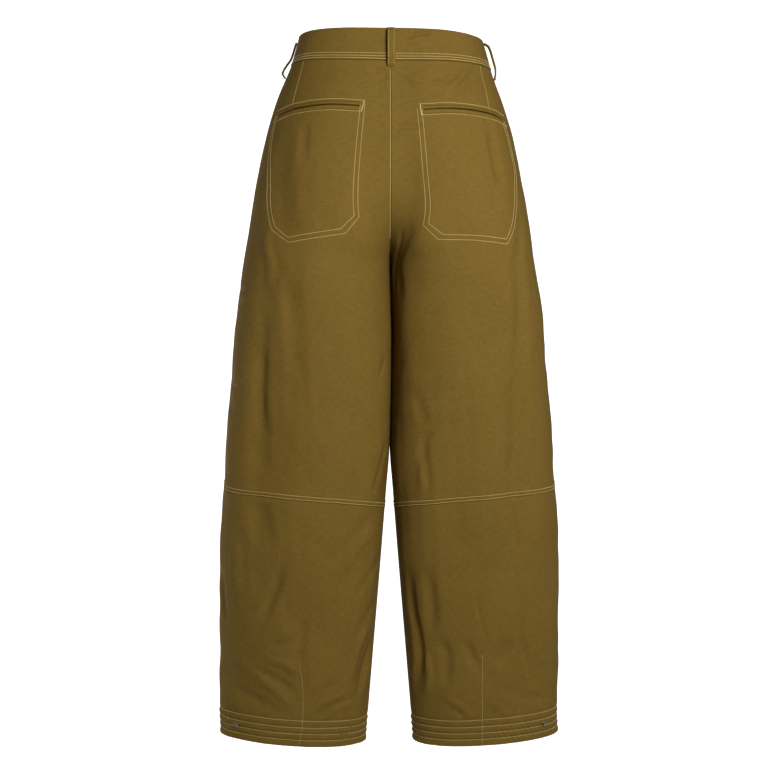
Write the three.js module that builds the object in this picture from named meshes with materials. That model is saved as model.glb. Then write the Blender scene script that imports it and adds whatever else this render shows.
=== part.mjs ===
// Barrel leg trousers with a high waist, standing open as if worn, in millimetres.
// +Z is up, the back faces +Y and the wearer's left is +X. The origin is the middle of the waist,
// level with the top edge of the waistband at the centre back.
//
// Every piece is cut from one surface, the form of the trousers. A place on it is
//   side  LEFT or RIGHT half,
//   u     share of the way round from the side, 0, to the centre back or inseam, 1, or by the front, -1,
//   down  millimetres below the origin,
//   out   millimetres outside the panels' outer face.

import * as THREE from 'three';

// ---- Driving sizes ---------------------------------------------------------------------------------

const LEFT = 1;
const RIGHT = -1;
const SIDES = [
  { side: LEFT, label: 'left' },
  { side: RIGHT, label: 'right' },
];

const CLOTH = 1.6; // wall of a panel
const FACING = 1.2; // wall of a piece inside a panel
const SEAM = 0.3; // gap between neighbouring pieces
const CROTCH = 325; // crotch point, below the waist
const SIDE_SEAM = -0.06; // u of the side seam, a little forward of the widest point
const SIDE_GAP = 0.25; // half the gap between the pieces that meet there
// The hem: its mean height, how much lower it hangs at the inseam and behind, and the turned-up depth.
const HEM = { down: 1004.5, inner: 6.5, behind: 5, depth: 38 };
// Where the thighs touch, the left one's back presses past the middle and the right one's front does:
// how far, and over what space.
const PRESS = { by: 3, depth: 85, width: 70, top: 300, bottom: 660 };
const SWAY_PEAK = 3.5; // brings the highest value of t * bump(t) to 1
const KNEE_SIDE = 647; // knee seam at the side
const KNEE_INNER = 677; // knee seam at the inseam

// The form: half width, how far the back and front stand out, where across the half they are fullest,
// and how square the outer corners are. An exponent of 2 is an ellipse.
const FORM = namedRows(
  ['down', 'side', 'back', 'front', 'lobe', 'square'],
  [
    [0, 133.2, 96, 98, 30, 2.4],
    [46, 146.5, 100, 102, 36, 2.35],
    [100, 166.5, 112, 109, 50, 2.3],
    [150, 180, 121, 114, 63, 2.25],
    [200, 190, 126, 117, 76, 2.25],
    [250, 198.8, 127, 118, 89, 2.25],
    [325, 210.5, 121.5, 115.5, 104, 2.25],
    [400, 220.7, 113, 110, 112, 2.3],
    [500, 229.4, 102, 103, 117, 2.3],
    [600, 236.8, 92, 96, 121, 2.3],
    [700, 243.2, 84, 89, 127, 2.3],
    [800, 245, 77, 81, 132, 2.3],
    [900, 245, 70, 73, 136, 2.3],
    [1020, 243.2, 64, 66, 139, 2.3],
  ],
);

// The line where the two halves, or a leg's front and back, meet: how far behind and in front of the
// side line it runs, the angle at which the cloth turns in to it, and how far from the middle it stays.
const CENTRE = namedRows(
  ['down', 'back', 'front', 'turn', 'apart'],
  [
    [0, 95.5, 97.5, 0, SEAM / 2],
    [46, 99.3, 101.3, 0, SEAM / 2],
    [100, 109.5, 107.5, 0, SEAM / 2],
    [150, 116.5, 111, 0, SEAM / 2],
    [200, 118, 111, 0, SEAM / 2],
    [230, 114, 106.5, 4, SEAM / 2],
    [260, 102, 94, 18, SEAM / 2],
    [285, 82, 75, 42, SEAM / 2],
    [305, 56, 50, 66, SEAM / 2],
    [318, 30, 22, 82, 0.25],
    [CROTCH, 6 + SEAM / 2, -6 + SEAM / 2, 90, 0.35],
    [345, 6 + SEAM / 2, -6 + SEAM / 2, 90, 0.4],
    [590, 3 + SEAM / 2, -3 + SEAM / 2, 90, 0.5],
    [640, 2 + SEAM / 2, -2 + SEAM / 2, 90, 4],
    [1020, SEAM / 2, SEAM / 2, 90, 35],
  ],
);

// How full the inner corners are, from soft over the seat to nearly square where the thighs meet.
const INNER_FULLNESS = namedRows(
  ['down', 'reach'],
  [
    [150, 0.5],
    [CROTCH, 0.64],
    [600, 0.68],
    [1020, 0.6],
  ],
);

// Heights of the rows of points along the centre seam, closest where it turns under at the crotch.
const CENTRE_ROWS = [
  75, 105, 135, 165, 200, 230, 255, 275, 292, 305, 314, 321, CROTCH, 332, 347, 372,
];
const THIGH_ROWS = [405, 440, 480, 520, 560, 600, 640];
const CALF_ROWS = [705, 740, 780, 820, 860, 900, 935];

// Columns of points across a panel, closer at the side and where the cloth turns in between the legs.
const BACK_COLUMNS = [
  0.04, 0.1, 0.17, 0.24, 0.31, 0.39, 0.47, 0.55, 0.63, 0.71, 0.78, 0.84, 0.89, 0.93, 0.97,
];
const FRONT_COLUMNS = [
  -0.97, -0.92, -0.86, -0.79, -0.71, -0.63, -0.55, -0.47, -0.39, -0.31, -0.23, -0.15,
];

// Waistband: its height behind, at the sides and in front, how far its face stands out, and the closing
// tab, which lifts clear of the band's other end over the stated stretch, 2 being the centre front.
const BAND = { back: 46, side: 41, front: 43, out: 0.6, wall: 2.6, frontDip: 8, columns: 17 };
const TAB = { long: 27, liftFrom: 1.86, liftTo: 1.985 };
const SIDE_DROP = { [LEFT]: -2, [RIGHT]: 5 }; // how far the top edge drops at each side
// Belt loops. They stand off the band in an even arch, or lie on it and stand off at their lower end.
const LOOP = { width: 10.4, wall: 1.5 };
const LOOP_PROFILE = namedRows(
  ['along', 'arched', 'hanging'],
  [
    [0, 0.3, 0.7],
    [0.05, 3.2, 1.4],
    [0.12, 6, 1.8],
    [0.3, 7, 2.3],
    [0.48, 7, 3.5],
    [0.64, 6.9, 6.2],
    [0.8, 6, 7.4],
    [0.9, 3.4, 6.6],
    [0.96, 1.1, 3.2],
    [1, 0.5, 0.5],
  ],
);
// Each loop's place, and how far below the band's top edge it starts and below its lower one it ends.
const LOOPS = [
  { name: 'belt_loop_back', side: LEFT, u: 1, start: 0, below: 9, shape: 'arched' },
  { name: 'belt_loop_side_left', side: LEFT, u: 0.02, start: 7, below: 17, shape: 'hanging' },
  { name: 'belt_loop_side_right', side: RIGHT, u: 0.02, start: 0, below: 12, shape: 'arched' },
  { name: 'belt_loop_front_left', side: LEFT, u: -0.74, start: 0, below: 9, shape: 'arched' },
  { name: 'belt_loop_front_right', side: RIGHT, u: -0.74, start: 0, below: 9, shape: 'arched' },
];

// Double-welt back pocket: the slot between its two lips, and the bag inside, its lower corners cut off.
const POCKET = { lip: 5.6, lipWall: 1.1, lipGap: 0.5, slot: 0.9, columns: 12 };
const BAG = { wall: 0.9, gap: 2.4 };
const POCKET_DROP = { [LEFT]: -2, [RIGHT]: 3 };
const POCKET_SLOT = namedRows(
  ['along', 'u', 'down'],
  [
    [0, 0.817, 114],
    [0.35, 0.622, 112],
    [0.66, 0.45, 114],
    [1, 0.26, 121],
  ],
);
const POCKET_BAG = namedRows(
  ['share', 'innerU', 'innerDown', 'outerU', 'outerDown'],
  [
    [0, 0.85, 108, 0.235, 114],
    [0.12, 0.846, 134, 0.225, 138],
    [0.25, 0.842, 160, 0.23, 162],
    [0.4, 0.836, 190, 0.25, 190],
    [0.55, 0.83, 220, 0.28, 218],
    [0.75, 0.825, 250, 0.315, 250],
    [0.9, 0.82, 275, 0.355, 280],
    [0.95, 0.77, 287, 0.38, 292],
    [1, 0.72, 298, 0.41, 303],
  ],
);

const FLY = { long: 165, wide: 40, below: 3, past: 6, columns: 7, rows: 8, gap: 1 };
const BUTTON = { radius: 7.5, thick: 2.6, round: 0.5, hole: 0.9, pitch: 1.7, fromEdge: 13, low: 4 };
const SNAP = { radius: 3.6, high: 1.7, dish: 0.9, rim: 0.9, slope: 0.4, u: 0.2, above: 20, turns: 16 };

// The largest folds: which half, across the panel, over what height, how deep (a trough is negative) and
// how wide, both in u and as a slant from its top to its bottom.
const FOLDS = namedRows(
  ['side', 'u', 'slant', 'top', 'bottom', 'deep', 'wide'],
  [
    [LEFT, 0.345, 0.02, 190, 850, -4.5, 0.07],
    [LEFT, 0.2, 0.01, 260, 930, 3, 0.06],
    [LEFT, 0.66, 0.03, 420, 940, -2.5, 0.06],
    [RIGHT, 0.34, -0.06, 230, 840, -3, 0.07],
    [RIGHT, 0.6, -0.03, 400, 930, -2.5, 0.06],
    [RIGHT, 0.86, -0.11, 262, 400, -3, 0.03],
    [LEFT, -0.33, 0.03, 220, 760, -4, 0.07],
    [LEFT, -0.64, -0.03, 380, 930, -3, 0.06],
    [RIGHT, -0.35, -0.02, 250, 790, -3.5, 0.07],
    [RIGHT, -0.62, 0.03, 400, 900, -3, 0.06],
    [LEFT, 0.02, 0, -60, 80, -3.4, 0.2],
  ],
);

// ---- Materials -------------------------------------------------------------------------------------

const twill = new THREE.MeshStandardMaterial({ color: 0x7b622d, roughness: 0.85 });
const pocketing = new THREE.MeshStandardMaterial({ color: 0x6f5829, roughness: 0.9 });
const corozo = new THREE.MeshStandardMaterial({ color: 0x4a3a1f, roughness: 0.45 });
const nickel = new THREE.MeshStandardMaterial({ color: 0x55524c, roughness: 0.35, metalness: 0.9 });

// ---- Tables and curves -----------------------------------------------------------------------------

function namedRows(columns, rows) {
  return rows.map((row) => Object.fromEntries(columns.map((column, i) => [column, row[i]])));
}

// A smooth curve through one column of a table, against another, that never overshoots its rows.
function curveThrough(rows, column, against = 'down') {
  const x = rows.map((row) => row[against]);
  const y = rows.map((row) => row[column]);
  const last = x.length - 1;
  const rise = y.slice(1).map((value, i) => (value - y[i]) / (x[i + 1] - x[i]));
  const slope = y.map((_, i) => {
    if (i === 0) return rise[0];
    if (i === last) return rise[last - 1];
    return rise[i - 1] * rise[i] <= 0 ? 0 : (2 * rise[i - 1] * rise[i]) / (rise[i - 1] + rise[i]);
  });
  return (at) => {
    const place = THREE.MathUtils.clamp(at, x[0], x[last]);
    const i = Math.max(0, x.findIndex((value) => value >= place) - 1);
    const width = x[i + 1] - x[i];
    const t = (place - x[i]) / width;
    const ease = t * t * (3 - 2 * t);
    const leave = t * (1 - t) * (1 - t) * width;
    const arrive = t * t * (t - 1) * width;
    return y[i] * (1 - ease) + y[i + 1] * ease + slope[i] * leave + slope[i + 1] * arrive;
  };
}

const form = {
  side: curveThrough(FORM, 'side'),
  back: curveThrough(FORM, 'back'),
  front: curveThrough(FORM, 'front'),
  lobe: curveThrough(FORM, 'lobe'),
  square: curveThrough(FORM, 'square'),
};
const centre = {
  back: curveThrough(CENTRE, 'back'),
  front: curveThrough(CENTRE, 'front'),
  turn: curveThrough(CENTRE, 'turn'),
  apart: curveThrough(CENTRE, 'apart'),
};
const innerReach = curveThrough(INNER_FULLNESS, 'reach');
const loopOff = {
  arched: curveThrough(LOOP_PROFILE, 'arched', 'along'),
  hanging: curveThrough(LOOP_PROFILE, 'hanging', 'along'),
};

// ---- The form --------------------------------------------------------------------------------------

const STEPS = 24; // points along each quarter of a section
const NEAR = { u: 0.004, down: 1.5 }; // step over which the surface's direction is taken

// Outer corner of a section, from the side to the fullest point, as a superellipse.
function outerQuarter(down, full) {
  const lobe = form.lobe(down);
  const power = 2 / form.square(down);
  return Array.from({ length: STEPS + 1 }, (_, i) => {
    const angle = (i / STEPS) * (Math.PI / 2);
    const x = lobe + (form.side(down) - lobe) * Math.cos(angle) ** power;
    return [x, full * Math.sin(angle) ** power];
  });
}

// Inner corner, from the fullest point to the centre line, which it meets at the stated turn.
function innerQuarter(down, full, seam) {
  const lobe = form.lobe(down);
  const turn = THREE.MathUtils.degToRad(centre.turn(down));
  const apart = centre.apart(down);
  const reach = innerReach(down);
  const arm = reach * (Math.cos(turn) * (lobe - apart) + Math.sin(turn) * (full - seam));
  const points = [
    [lobe, full],
    [lobe - reach * (lobe - apart), full],
    [apart + Math.cos(turn) * arm, seam + Math.sin(turn) * arm],
    [apart, seam],
  ];
  return Array.from({ length: STEPS + 1 }, (_, i) => {
    const t = i / STEPS;
    const weights = [(1 - t) ** 3, 3 * t * (1 - t) ** 2, 3 * t * t * (1 - t), t ** 3];
    return [0, 1].map((axis) => weights.reduce((sum, w, k) => sum + w * points[k][axis], 0));
  });
}

// The point a share of the way along a line of points, measured along it, and the line's length.
function along(points, share) {
  const lengths = [0];
  for (let i = 1; i < points.length; i += 1) {
    const step = Math.hypot(points[i][0] - points[i - 1][0], points[i][1] - points[i - 1][1]);
    lengths.push(lengths[i - 1] + step);
  }
  const total = lengths[lengths.length - 1];
  const want = THREE.MathUtils.clamp(share, 0, 1) * total;
  const i = Math.max(1, lengths.findIndex((value) => value >= want - 1e-9));
  const t = (want - lengths[i - 1]) / (lengths[i] - lengths[i - 1]);
  return { at: [0, 1].map((axis) => points[i - 1][axis] * (1 - t) + points[i][axis] * t), total };
}

// The place a share of the way round from the side to the centre line, by the back or the front.
function sectionAt(u, down) {
  const isBack = u >= 0;
  const full = isBack ? form.back(down) : form.front(down);
  const seam = isBack ? centre.back(down) : centre.front(down);
  const points = [...outerQuarter(down, full), ...innerQuarter(down, full, seam).slice(1)];
  return { ...along(points, Math.abs(u)), facing: isBack ? 1 : -1 };
}

function plainPoint(side, u, down) {
  const { at, facing } = sectionAt(u, down);
  const x = side * at[0];
  const height = (down - (PRESS.top + PRESS.bottom) / 2) / ((PRESS.bottom - PRESS.top) / 2);
  const behind = (facing * at[1]) / PRESS.depth;
  const sway = behind * bump(behind) * SWAY_PEAK;
  const press = PRESS.by * bump(height) * sway * bump(x / PRESS.width);
  return new THREE.Vector3(x - press, facing * at[1], -down);
}

// How many u one millimetre along the section is.
function uPerMillimetre(u, down) {
  return 1 / sectionAt(u, down).total;
}

function bump(t) {
  return t <= -1 || t >= 1 ? 0 : (1 - t * t) ** 2;
}

function foldAt(side, u, down) {
  return FOLDS.filter((fold) => fold.side === side).reduce((sum, fold) => {
    const middle = (fold.top + fold.bottom) / 2;
    const height = (down - middle) / ((fold.bottom - fold.top) / 2);
    const crest = fold.u + (fold.slant * height) / 2;
    return sum + fold.deep * bump(height) * bump((u - crest) / (2 * fold.wide));
  }, 0);
}

// A point of the form, or a stated distance outside it.
function cloth(side, u, down, out = 0) {
  const next = plainPoint(side, Math.min(u + NEAR.u, 1), down);
  const across = next.sub(plainPoint(side, Math.max(u - NEAR.u, -1), down));
  const below = plainPoint(side, u, down + NEAR.down).sub(plainPoint(side, u, down - NEAR.down));
  const normal = below.cross(across).normalize().multiplyScalar(side);
  return plainPoint(side, u, down).addScaledVector(normal, out + foldAt(side, u, down));
}

// The same by a distance round the body: 0 centre back, 1 the left side, 2 and -2 the centre front.
function aroundPlace(turn) {
  const wrapped = turn < -2 ? turn + 4 : turn;
  return { side: wrapped < 0 ? RIGHT : LEFT, u: 1 - Math.abs(wrapped) };
}

// ---- Edges that several pieces share ---------------------------------------------------------------

function topEdge(side, u) {
  const sideDrop = SIDE_DROP[side] * Math.cos((u * Math.PI) / 2) ** 2;
  const frontDip = u < 0 ? BAND.frontDip * Math.sin((u * Math.PI) / 2) ** 2 : 0;
  return sideDrop + frontDip;
}

function bandEdge(side, u) {
  const far = u < 0 ? BAND.front : BAND.back;
  return topEdge(side, u) + THREE.MathUtils.lerp(BAND.side, far, Math.sin((u * Math.PI) / 2) ** 2);
}

function kneeSeam(u) {
  return THREE.MathUtils.lerp(KNEE_SIDE, KNEE_INNER, u);
}

// The hem hangs lowest at the inseam and behind.
function hemEdge(u) {
  return HEM.down - HEM.inner * Math.cos(u * Math.PI) + HEM.behind * Math.sin(u * Math.PI);
}

function hemTop(u) {
  return hemEdge(u) - HEM.depth;
}

// ---- Building closed walls -------------------------------------------------------------------------

// A closed solid between two grids of points. A ring's last column joins its first.
function wall(name, material, outer, inner, isRing = false) {
  const rows = outer.length;
  const columns = outer[0].length;
  const id = (layer, i, j) => (layer * rows + i) * columns + (j % columns);
  const faces = [];
  const quad = (a, b, c, d) => faces.push(a, b, c, a, c, d);
  const spans = isRing ? columns : columns - 1;
  for (let i = 0; i < rows - 1; i += 1) {
    for (let j = 0; j < spans; j += 1) {
      quad(id(0, i, j), id(0, i + 1, j), id(0, i + 1, j + 1), id(0, i, j + 1));
      quad(id(1, i, j), id(1, i, j + 1), id(1, i + 1, j + 1), id(1, i + 1, j));
    }
  }
  for (let j = 0; j < spans; j += 1) {
    quad(id(0, 0, j), id(0, 0, j + 1), id(1, 0, j + 1), id(1, 0, j));
    quad(id(0, rows - 1, j), id(1, rows - 1, j), id(1, rows - 1, j + 1), id(0, rows - 1, j + 1));
  }
  for (let i = 0; i < rows - 1 && !isRing; i += 1) {
    const end = columns - 1;
    quad(id(0, i, 0), id(1, i, 0), id(1, i + 1, 0), id(0, i + 1, 0));
    quad(id(0, i, end), id(0, i + 1, end), id(1, i + 1, end), id(1, i, end));
  }
  const points = [...outer.flat(), ...inner.flat()];
  const geometry = new THREE.BufferGeometry().setFromPoints(points);
  geometry.setIndex(volumeOf(points, faces) < 0 ? faces.toReversed() : faces);
  geometry.computeVertexNormals();
  return namedMesh(name, geometry, material);
}

function volumeOf(points, faces) {
  let sum = 0;
  for (let k = 0; k < faces.length; k += 3) {
    const [a, b, c] = [points[faces[k]], points[faces[k + 1]], points[faces[k + 2]]];
    sum += a.dot(new THREE.Vector3().crossVectors(b, c)) / 6;
  }
  return sum;
}

function namedMesh(name, geometry, material) {
  const mesh = new THREE.Mesh(geometry, material);
  mesh.name = name;
  return mesh;
}

// A wall over a grid of places, each { side, u, down }, from one distance outside the form to another.
function wallOver(name, material, places, from, to, isRing = false) {
  const layer = (out) => places.map((row) => row.map(({ side, u, down }) => cloth(side, u, down, out)));
  return wall(name, material, layer(from), layer(to), isRing);
}

// Turns a geometry made about +Z so that it stands on the form.
function standOn(geometry, side, u, down, out) {
  const foot = cloth(side, u, down, out);
  const normal = cloth(side, u, down, out + 1).sub(foot).normalize();
  const turn = new THREE.Quaternion().setFromUnitVectors(new THREE.Vector3(0, 0, 1), normal);
  return geometry.applyQuaternion(turn).translate(foot.x, foot.y, foot.z);
}

// ---- Leg panels ------------------------------------------------------------------------------------

// Heights of a panel's rows at u: even at the side, and following the stated rows at the centre seam.
function rowHeights(centreRows, top, bottom, u) {
  const centreU = Math.sign(u) || 1;
  const heights = [top(centreU), ...centreRows, bottom(centreU)];
  const towardsCentre = THREE.MathUtils.smoothstep(Math.abs(u), 0.4, 0.95);
  return heights.map((height, i) => {
    const atCentre = (height - heights[0]) / (heights[heights.length - 1] - heights[0]);
    const share = THREE.MathUtils.lerp(i / (heights.length - 1), atCentre, towardsCentre);
    return THREE.MathUtils.lerp(top(u), bottom(u), share);
  });
}

function panelPlaces(side, columns, heightsAt) {
  const heights = columns.map(heightsAt);
  return heights[0].map((_, i) => columns.map((u, j) => ({ side, u, down: heights[j][i] })));
}

const sideGap = SIDE_GAP * uPerMillimetre(0, 500);
const backColumns = [SIDE_SEAM + sideGap, ...BACK_COLUMNS, 1];
const frontColumns = [-1, ...FRONT_COLUMNS, SIDE_SEAM - sideGap];

function backUpper({ side, label }) {
  const top = (u) => bandEdge(side, u) + SEAM;
  const bottom = (u) => kneeSeam(u) - SEAM / 2;
  const heightsAt = (u) => rowHeights([...CENTRE_ROWS, ...THIGH_ROWS], top, bottom, u);
  return wallOver(`back_upper_${label}`, twill, panelPlaces(side, backColumns, heightsAt), 0, -CLOTH);
}

function backLower({ side, label }) {
  const top = (u) => kneeSeam(u) + SEAM / 2;
  const heightsAt = (u) => [...rowHeights(CALF_ROWS, top, hemTop, u), hemEdge(u)];
  return wallOver(`back_lower_${label}`, twill, panelPlaces(side, backColumns, heightsAt), 0, -CLOTH);
}

function front({ side, label }) {
  const top = (u) => bandEdge(side, u) + SEAM;
  const centreRows = [...CENTRE_ROWS, ...THIGH_ROWS, KNEE_INNER, ...CALF_ROWS];
  const heightsAt = (u) => [...rowHeights(centreRows, top, hemTop, u), hemEdge(u)];
  return wallOver(`front_${label}`, twill, panelPlaces(side, frontColumns, heightsAt), 0, -CLOTH);
}

// The hem's turned-up layer, a ring inside the leg on the panels' own points.
function hemFacing({ side, label }) {
  const columns = [...frontColumns, ...backColumns];
  const places = panelPlaces(side, columns, (u) => [hemTop(u), hemEdge(u)]);
  const outside = -CLOTH - SEAM;
  return wallOver(`hem_facing_${label}`, twill, places, outside, outside - FACING, true);
}

// ---- Waistband, loops and closing ------------------------------------------------------------------

// One strip from the left centre front, round the back, to a tab that laps over its own start.
function waistband() {
  const down = bandEdge(LEFT, -1) / 2;
  const tabTurn = TAB.long * uPerMillimetre(-1, down);
  const start = 2 - (SEAM / 2) * uPerMillimetre(-1, down);
  const turns = [];
  for (let quarter = 0; quarter < 4; quarter += 1) {
    for (let i = 0; i < BAND.columns; i += 1) turns.push(start - quarter - i / BAND.columns);
  }
  turns.push(-2, -2 - tabTurn / 2, -2 - tabTurn);
  const clear = BAND.wall + SEAM;
  const lift = (turn) => clear * THREE.MathUtils.smoothstep(-turn, TAB.liftFrom, TAB.liftTo);
  const layer = (out) => [0, 0.5, 1].map((share) => turns.map((turn) => {
    const { side, u } = aroundPlace(turn);
    const height = THREE.MathUtils.lerp(topEdge(side, u), bandEdge(side, u), share);
    return cloth(side, u, height, out + lift(turn));
  }));
  return wall('waistband', twill, layer(BAND.out), layer(BAND.out - BAND.wall));
}

// A strip that stands off the band and is sewn down at the top edge and just under the seam.
function beltLoop({ name, side, u, start, below, shape }) {
  const top = topEdge(side, u) + start;
  const bottom = bandEdge(side, u) + below;
  const seamShare = (bandEdge(side, u) - top) / (bottom - top);
  const places = LOOP_PROFILE.flatMap((row, i) => {
    const next = LOOP_PROFILE[i + 1];
    return next ? [row.along, (row.along + next.along) / 2] : [row.along];
  });
  const layer = (extra) => places.map((share) => [-1, 0, 1].map((across) => {
    const down = THREE.MathUtils.lerp(top, bottom, share);
    const wide = u + across * (LOOP.width / 2) * uPerMillimetre(u, down);
    const place = wide > 1 ? { side: -side, u: 2 - wide } : { side, u: wide };
    const onBand = share <= seamShare ? BAND.out : 0;
    return cloth(place.side, place.u, down, onBand + loopOff[shape](share) + extra);
  }));
  return wall(name, twill, layer(LOOP.wall), layer(0));
}

// The under layer of the fly, inside the fronts, from the left front across to the right.
function flyShield() {
  const top = bandEdge(LEFT, -1) + FLY.below;
  const outside = -CLOTH - FLY.gap;
  const layer = (out) => Array.from({ length: FLY.rows }, (_, i) => (
    Array.from({ length: FLY.columns }, (__, j) => {
      const across = THREE.MathUtils.lerp(FLY.past, FLY.past - FLY.wide, j / (FLY.columns - 1));
      const down = THREE.MathUtils.lerp(top, top + FLY.long, i / (FLY.rows - 1));
      const u = -1 + Math.abs(across) * uPerMillimetre(-1, down);
      return cloth(across < 0 ? RIGHT : LEFT, u, down, out);
    })
  ));
  return wall('fly_shield', twill, layer(outside), layer(outside - FACING));
}

function waistButton() {
  const face = new THREE.Shape().absarc(0, 0, BUTTON.radius - BUTTON.round, 0, Math.PI * 2);
  for (const [x, y] of [[1, 1], [-1, 1], [-1, -1], [1, -1]]) {
    const hole = new THREE.Path();
    hole.absarc(x * BUTTON.pitch, y * BUTTON.pitch, BUTTON.hole, 0, Math.PI * 2, true);
    face.holes.push(hole);
  }
  const geometry = new THREE.ExtrudeGeometry(face, {
    depth: BUTTON.thick - 2 * BUTTON.round,
    bevelThickness: BUTTON.round,
    bevelSize: BUTTON.round,
    bevelSegments: 1,
    curveSegments: 7,
  }).translate(0, 0, BUTTON.round);
  const down = bandEdge(LEFT, -1) / 2 + BUTTON.low;
  const fromCentre = TAB.long - BUTTON.fromEdge;
  const u = -1 + fromCentre * uPerMillimetre(-1, down);
  const onTab = BAND.out + BAND.wall + SEAM;
  return namedMesh('waist_button', standOn(geometry, LEFT, u, down, onTab + SEAM), corozo);
}

// ---- Back pockets ----------------------------------------------------------------------------------

// Places along the slot, from its end near the centre back to its end near the side.
function slotPlaces(side) {
  const u = curveThrough(POCKET_SLOT, 'u', 'along');
  const down = curveThrough(POCKET_SLOT, 'down', 'along');
  return Array.from({ length: POCKET.columns }, (_, i) => {
    const share = i / (POCKET.columns - 1);
    return { side, u: u(share), down: down(share) + POCKET_DROP[side] };
  });
}

function pocketLips({ side, label }) {
  const { slot, lip, lipGap, lipWall } = POCKET;
  return [['upper', -1], ['lower', 1]].map(([which, way]) => {
    const places = [slot / 2, slot / 2 + lip].map((off) => (
      slotPlaces(side).map((place) => ({ ...place, down: place.down + way * off }))
    ));
    return wallOver(`pocket_lip_${which}_${label}`, twill, places, lipGap + lipWall, lipGap);
  });
}

function pocketBag({ side, label }) {
  const places = POCKET_BAG.map(({ innerU, innerDown, outerU, outerDown }) => (
    Array.from({ length: POCKET.columns }, (_, i) => {
      const share = i / (POCKET.columns - 1);
      const down = THREE.MathUtils.lerp(innerDown, outerDown, share) + POCKET_DROP[side];
      return { side, u: THREE.MathUtils.lerp(innerU, outerU, share), down };
    })
  ));
  const outside = -CLOTH - BAG.gap;
  return wallOver(`pocket_bag_${label}`, pocketing, places, outside, outside - BAG.wall);
}

// ---- Hem snaps -------------------------------------------------------------------------------------

function hemSnap({ side, label }) {
  const { radius, high, dish, rim, slope } = SNAP;
  const profile = [
    [0, 0],
    [radius, 0],
    [radius, high - dish],
    [radius - slope, high],
    [radius - rim, high],
    [radius - rim - slope, dish],
    [0, dish],
  ].map(([x, y]) => new THREE.Vector2(x, y));
  const geometry = new THREE.LatheGeometry(profile, SNAP.turns).rotateX(Math.PI / 2);
  const down = hemEdge(SNAP.u) - SNAP.above;
  return namedMesh(`hem_snap_${label}`, standOn(geometry, side, SNAP.u, down, SEAM), nickel);
}

// ---- The trousers ----------------------------------------------------------------------------------

const trousers = new THREE.Group();
trousers.name = 'barrel_leg_trousers';
for (const half of SIDES) {
  const leg = new THREE.Group();
  leg.add(backUpper(half), backLower(half), front(half), hemFacing(half), hemSnap(half));
  leg.add(...pocketLips(half), pocketBag(half));
  trousers.add(leg);
}
trousers.add(waistband(), ...LOOPS.map(beltLoop), flyShield(), waistButton());

export default trousers;
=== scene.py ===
"""Barrel leg trousers in olive khaki twill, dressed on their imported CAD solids.

The trousers stand open as if worn. Their back faces +Y, and the wearer's left is +X. Sizes are in
millimetres until a mesh is made, and meshes are in metres. A place on the cloth is given by:
side, its half (LEFT or RIGHT); u, the share of the way from the side (0) round to the centre back
or inseam (1), or round to the front (-1); and down, the distance below the waist.
"""

import logging
import math
from dataclasses import dataclass, field
from enum import Enum
from typing import Callable, Sequence

import bpy
import numpy as np
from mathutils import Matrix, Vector


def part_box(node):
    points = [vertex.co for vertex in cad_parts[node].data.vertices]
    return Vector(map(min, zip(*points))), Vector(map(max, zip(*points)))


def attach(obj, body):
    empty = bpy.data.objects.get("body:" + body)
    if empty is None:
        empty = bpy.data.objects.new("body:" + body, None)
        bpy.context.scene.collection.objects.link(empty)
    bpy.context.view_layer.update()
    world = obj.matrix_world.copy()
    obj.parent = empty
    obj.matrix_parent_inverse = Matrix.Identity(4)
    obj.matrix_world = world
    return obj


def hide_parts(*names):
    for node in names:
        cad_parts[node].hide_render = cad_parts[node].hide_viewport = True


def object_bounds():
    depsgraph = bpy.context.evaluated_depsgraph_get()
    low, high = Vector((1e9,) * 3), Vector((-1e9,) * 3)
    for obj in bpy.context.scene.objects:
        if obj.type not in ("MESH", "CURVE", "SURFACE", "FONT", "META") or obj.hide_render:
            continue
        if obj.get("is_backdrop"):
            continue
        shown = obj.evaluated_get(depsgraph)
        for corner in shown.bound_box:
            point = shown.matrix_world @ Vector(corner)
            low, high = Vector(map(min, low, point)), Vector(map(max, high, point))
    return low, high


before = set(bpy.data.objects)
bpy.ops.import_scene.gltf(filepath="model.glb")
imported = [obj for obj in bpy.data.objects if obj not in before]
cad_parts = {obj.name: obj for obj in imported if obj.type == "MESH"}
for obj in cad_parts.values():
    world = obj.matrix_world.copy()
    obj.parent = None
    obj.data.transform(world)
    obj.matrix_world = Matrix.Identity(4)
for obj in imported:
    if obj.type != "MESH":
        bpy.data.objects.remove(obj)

MM = 0.001
LEFT, RIGHT = 1, -1
SIDE_LABEL = {LEFT: "left", RIGHT: "right"}
log = logging.getLogger("trousers")
Array, Object, Material = np.ndarray, bpy.types.Object, bpy.types.Material
Tree, Socket = bpy.types.NodeTree, bpy.types.NodeSocket


# ---- The form, as the solids have it ------------------------------------------------------------


@dataclass(frozen=True)
class FormRow:
    """A height of the form: half width, reach behind and in front, fullest place, squareness."""

    down: float
    side: float
    back: float
    front: float
    lobe: float
    square: float


@dataclass(frozen=True)
class CentreRow:
    """A height of the line where two halves or a leg's panels meet, and how the cloth meets it."""

    down: float
    back: float
    front: float
    turn: float
    apart: float


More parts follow.
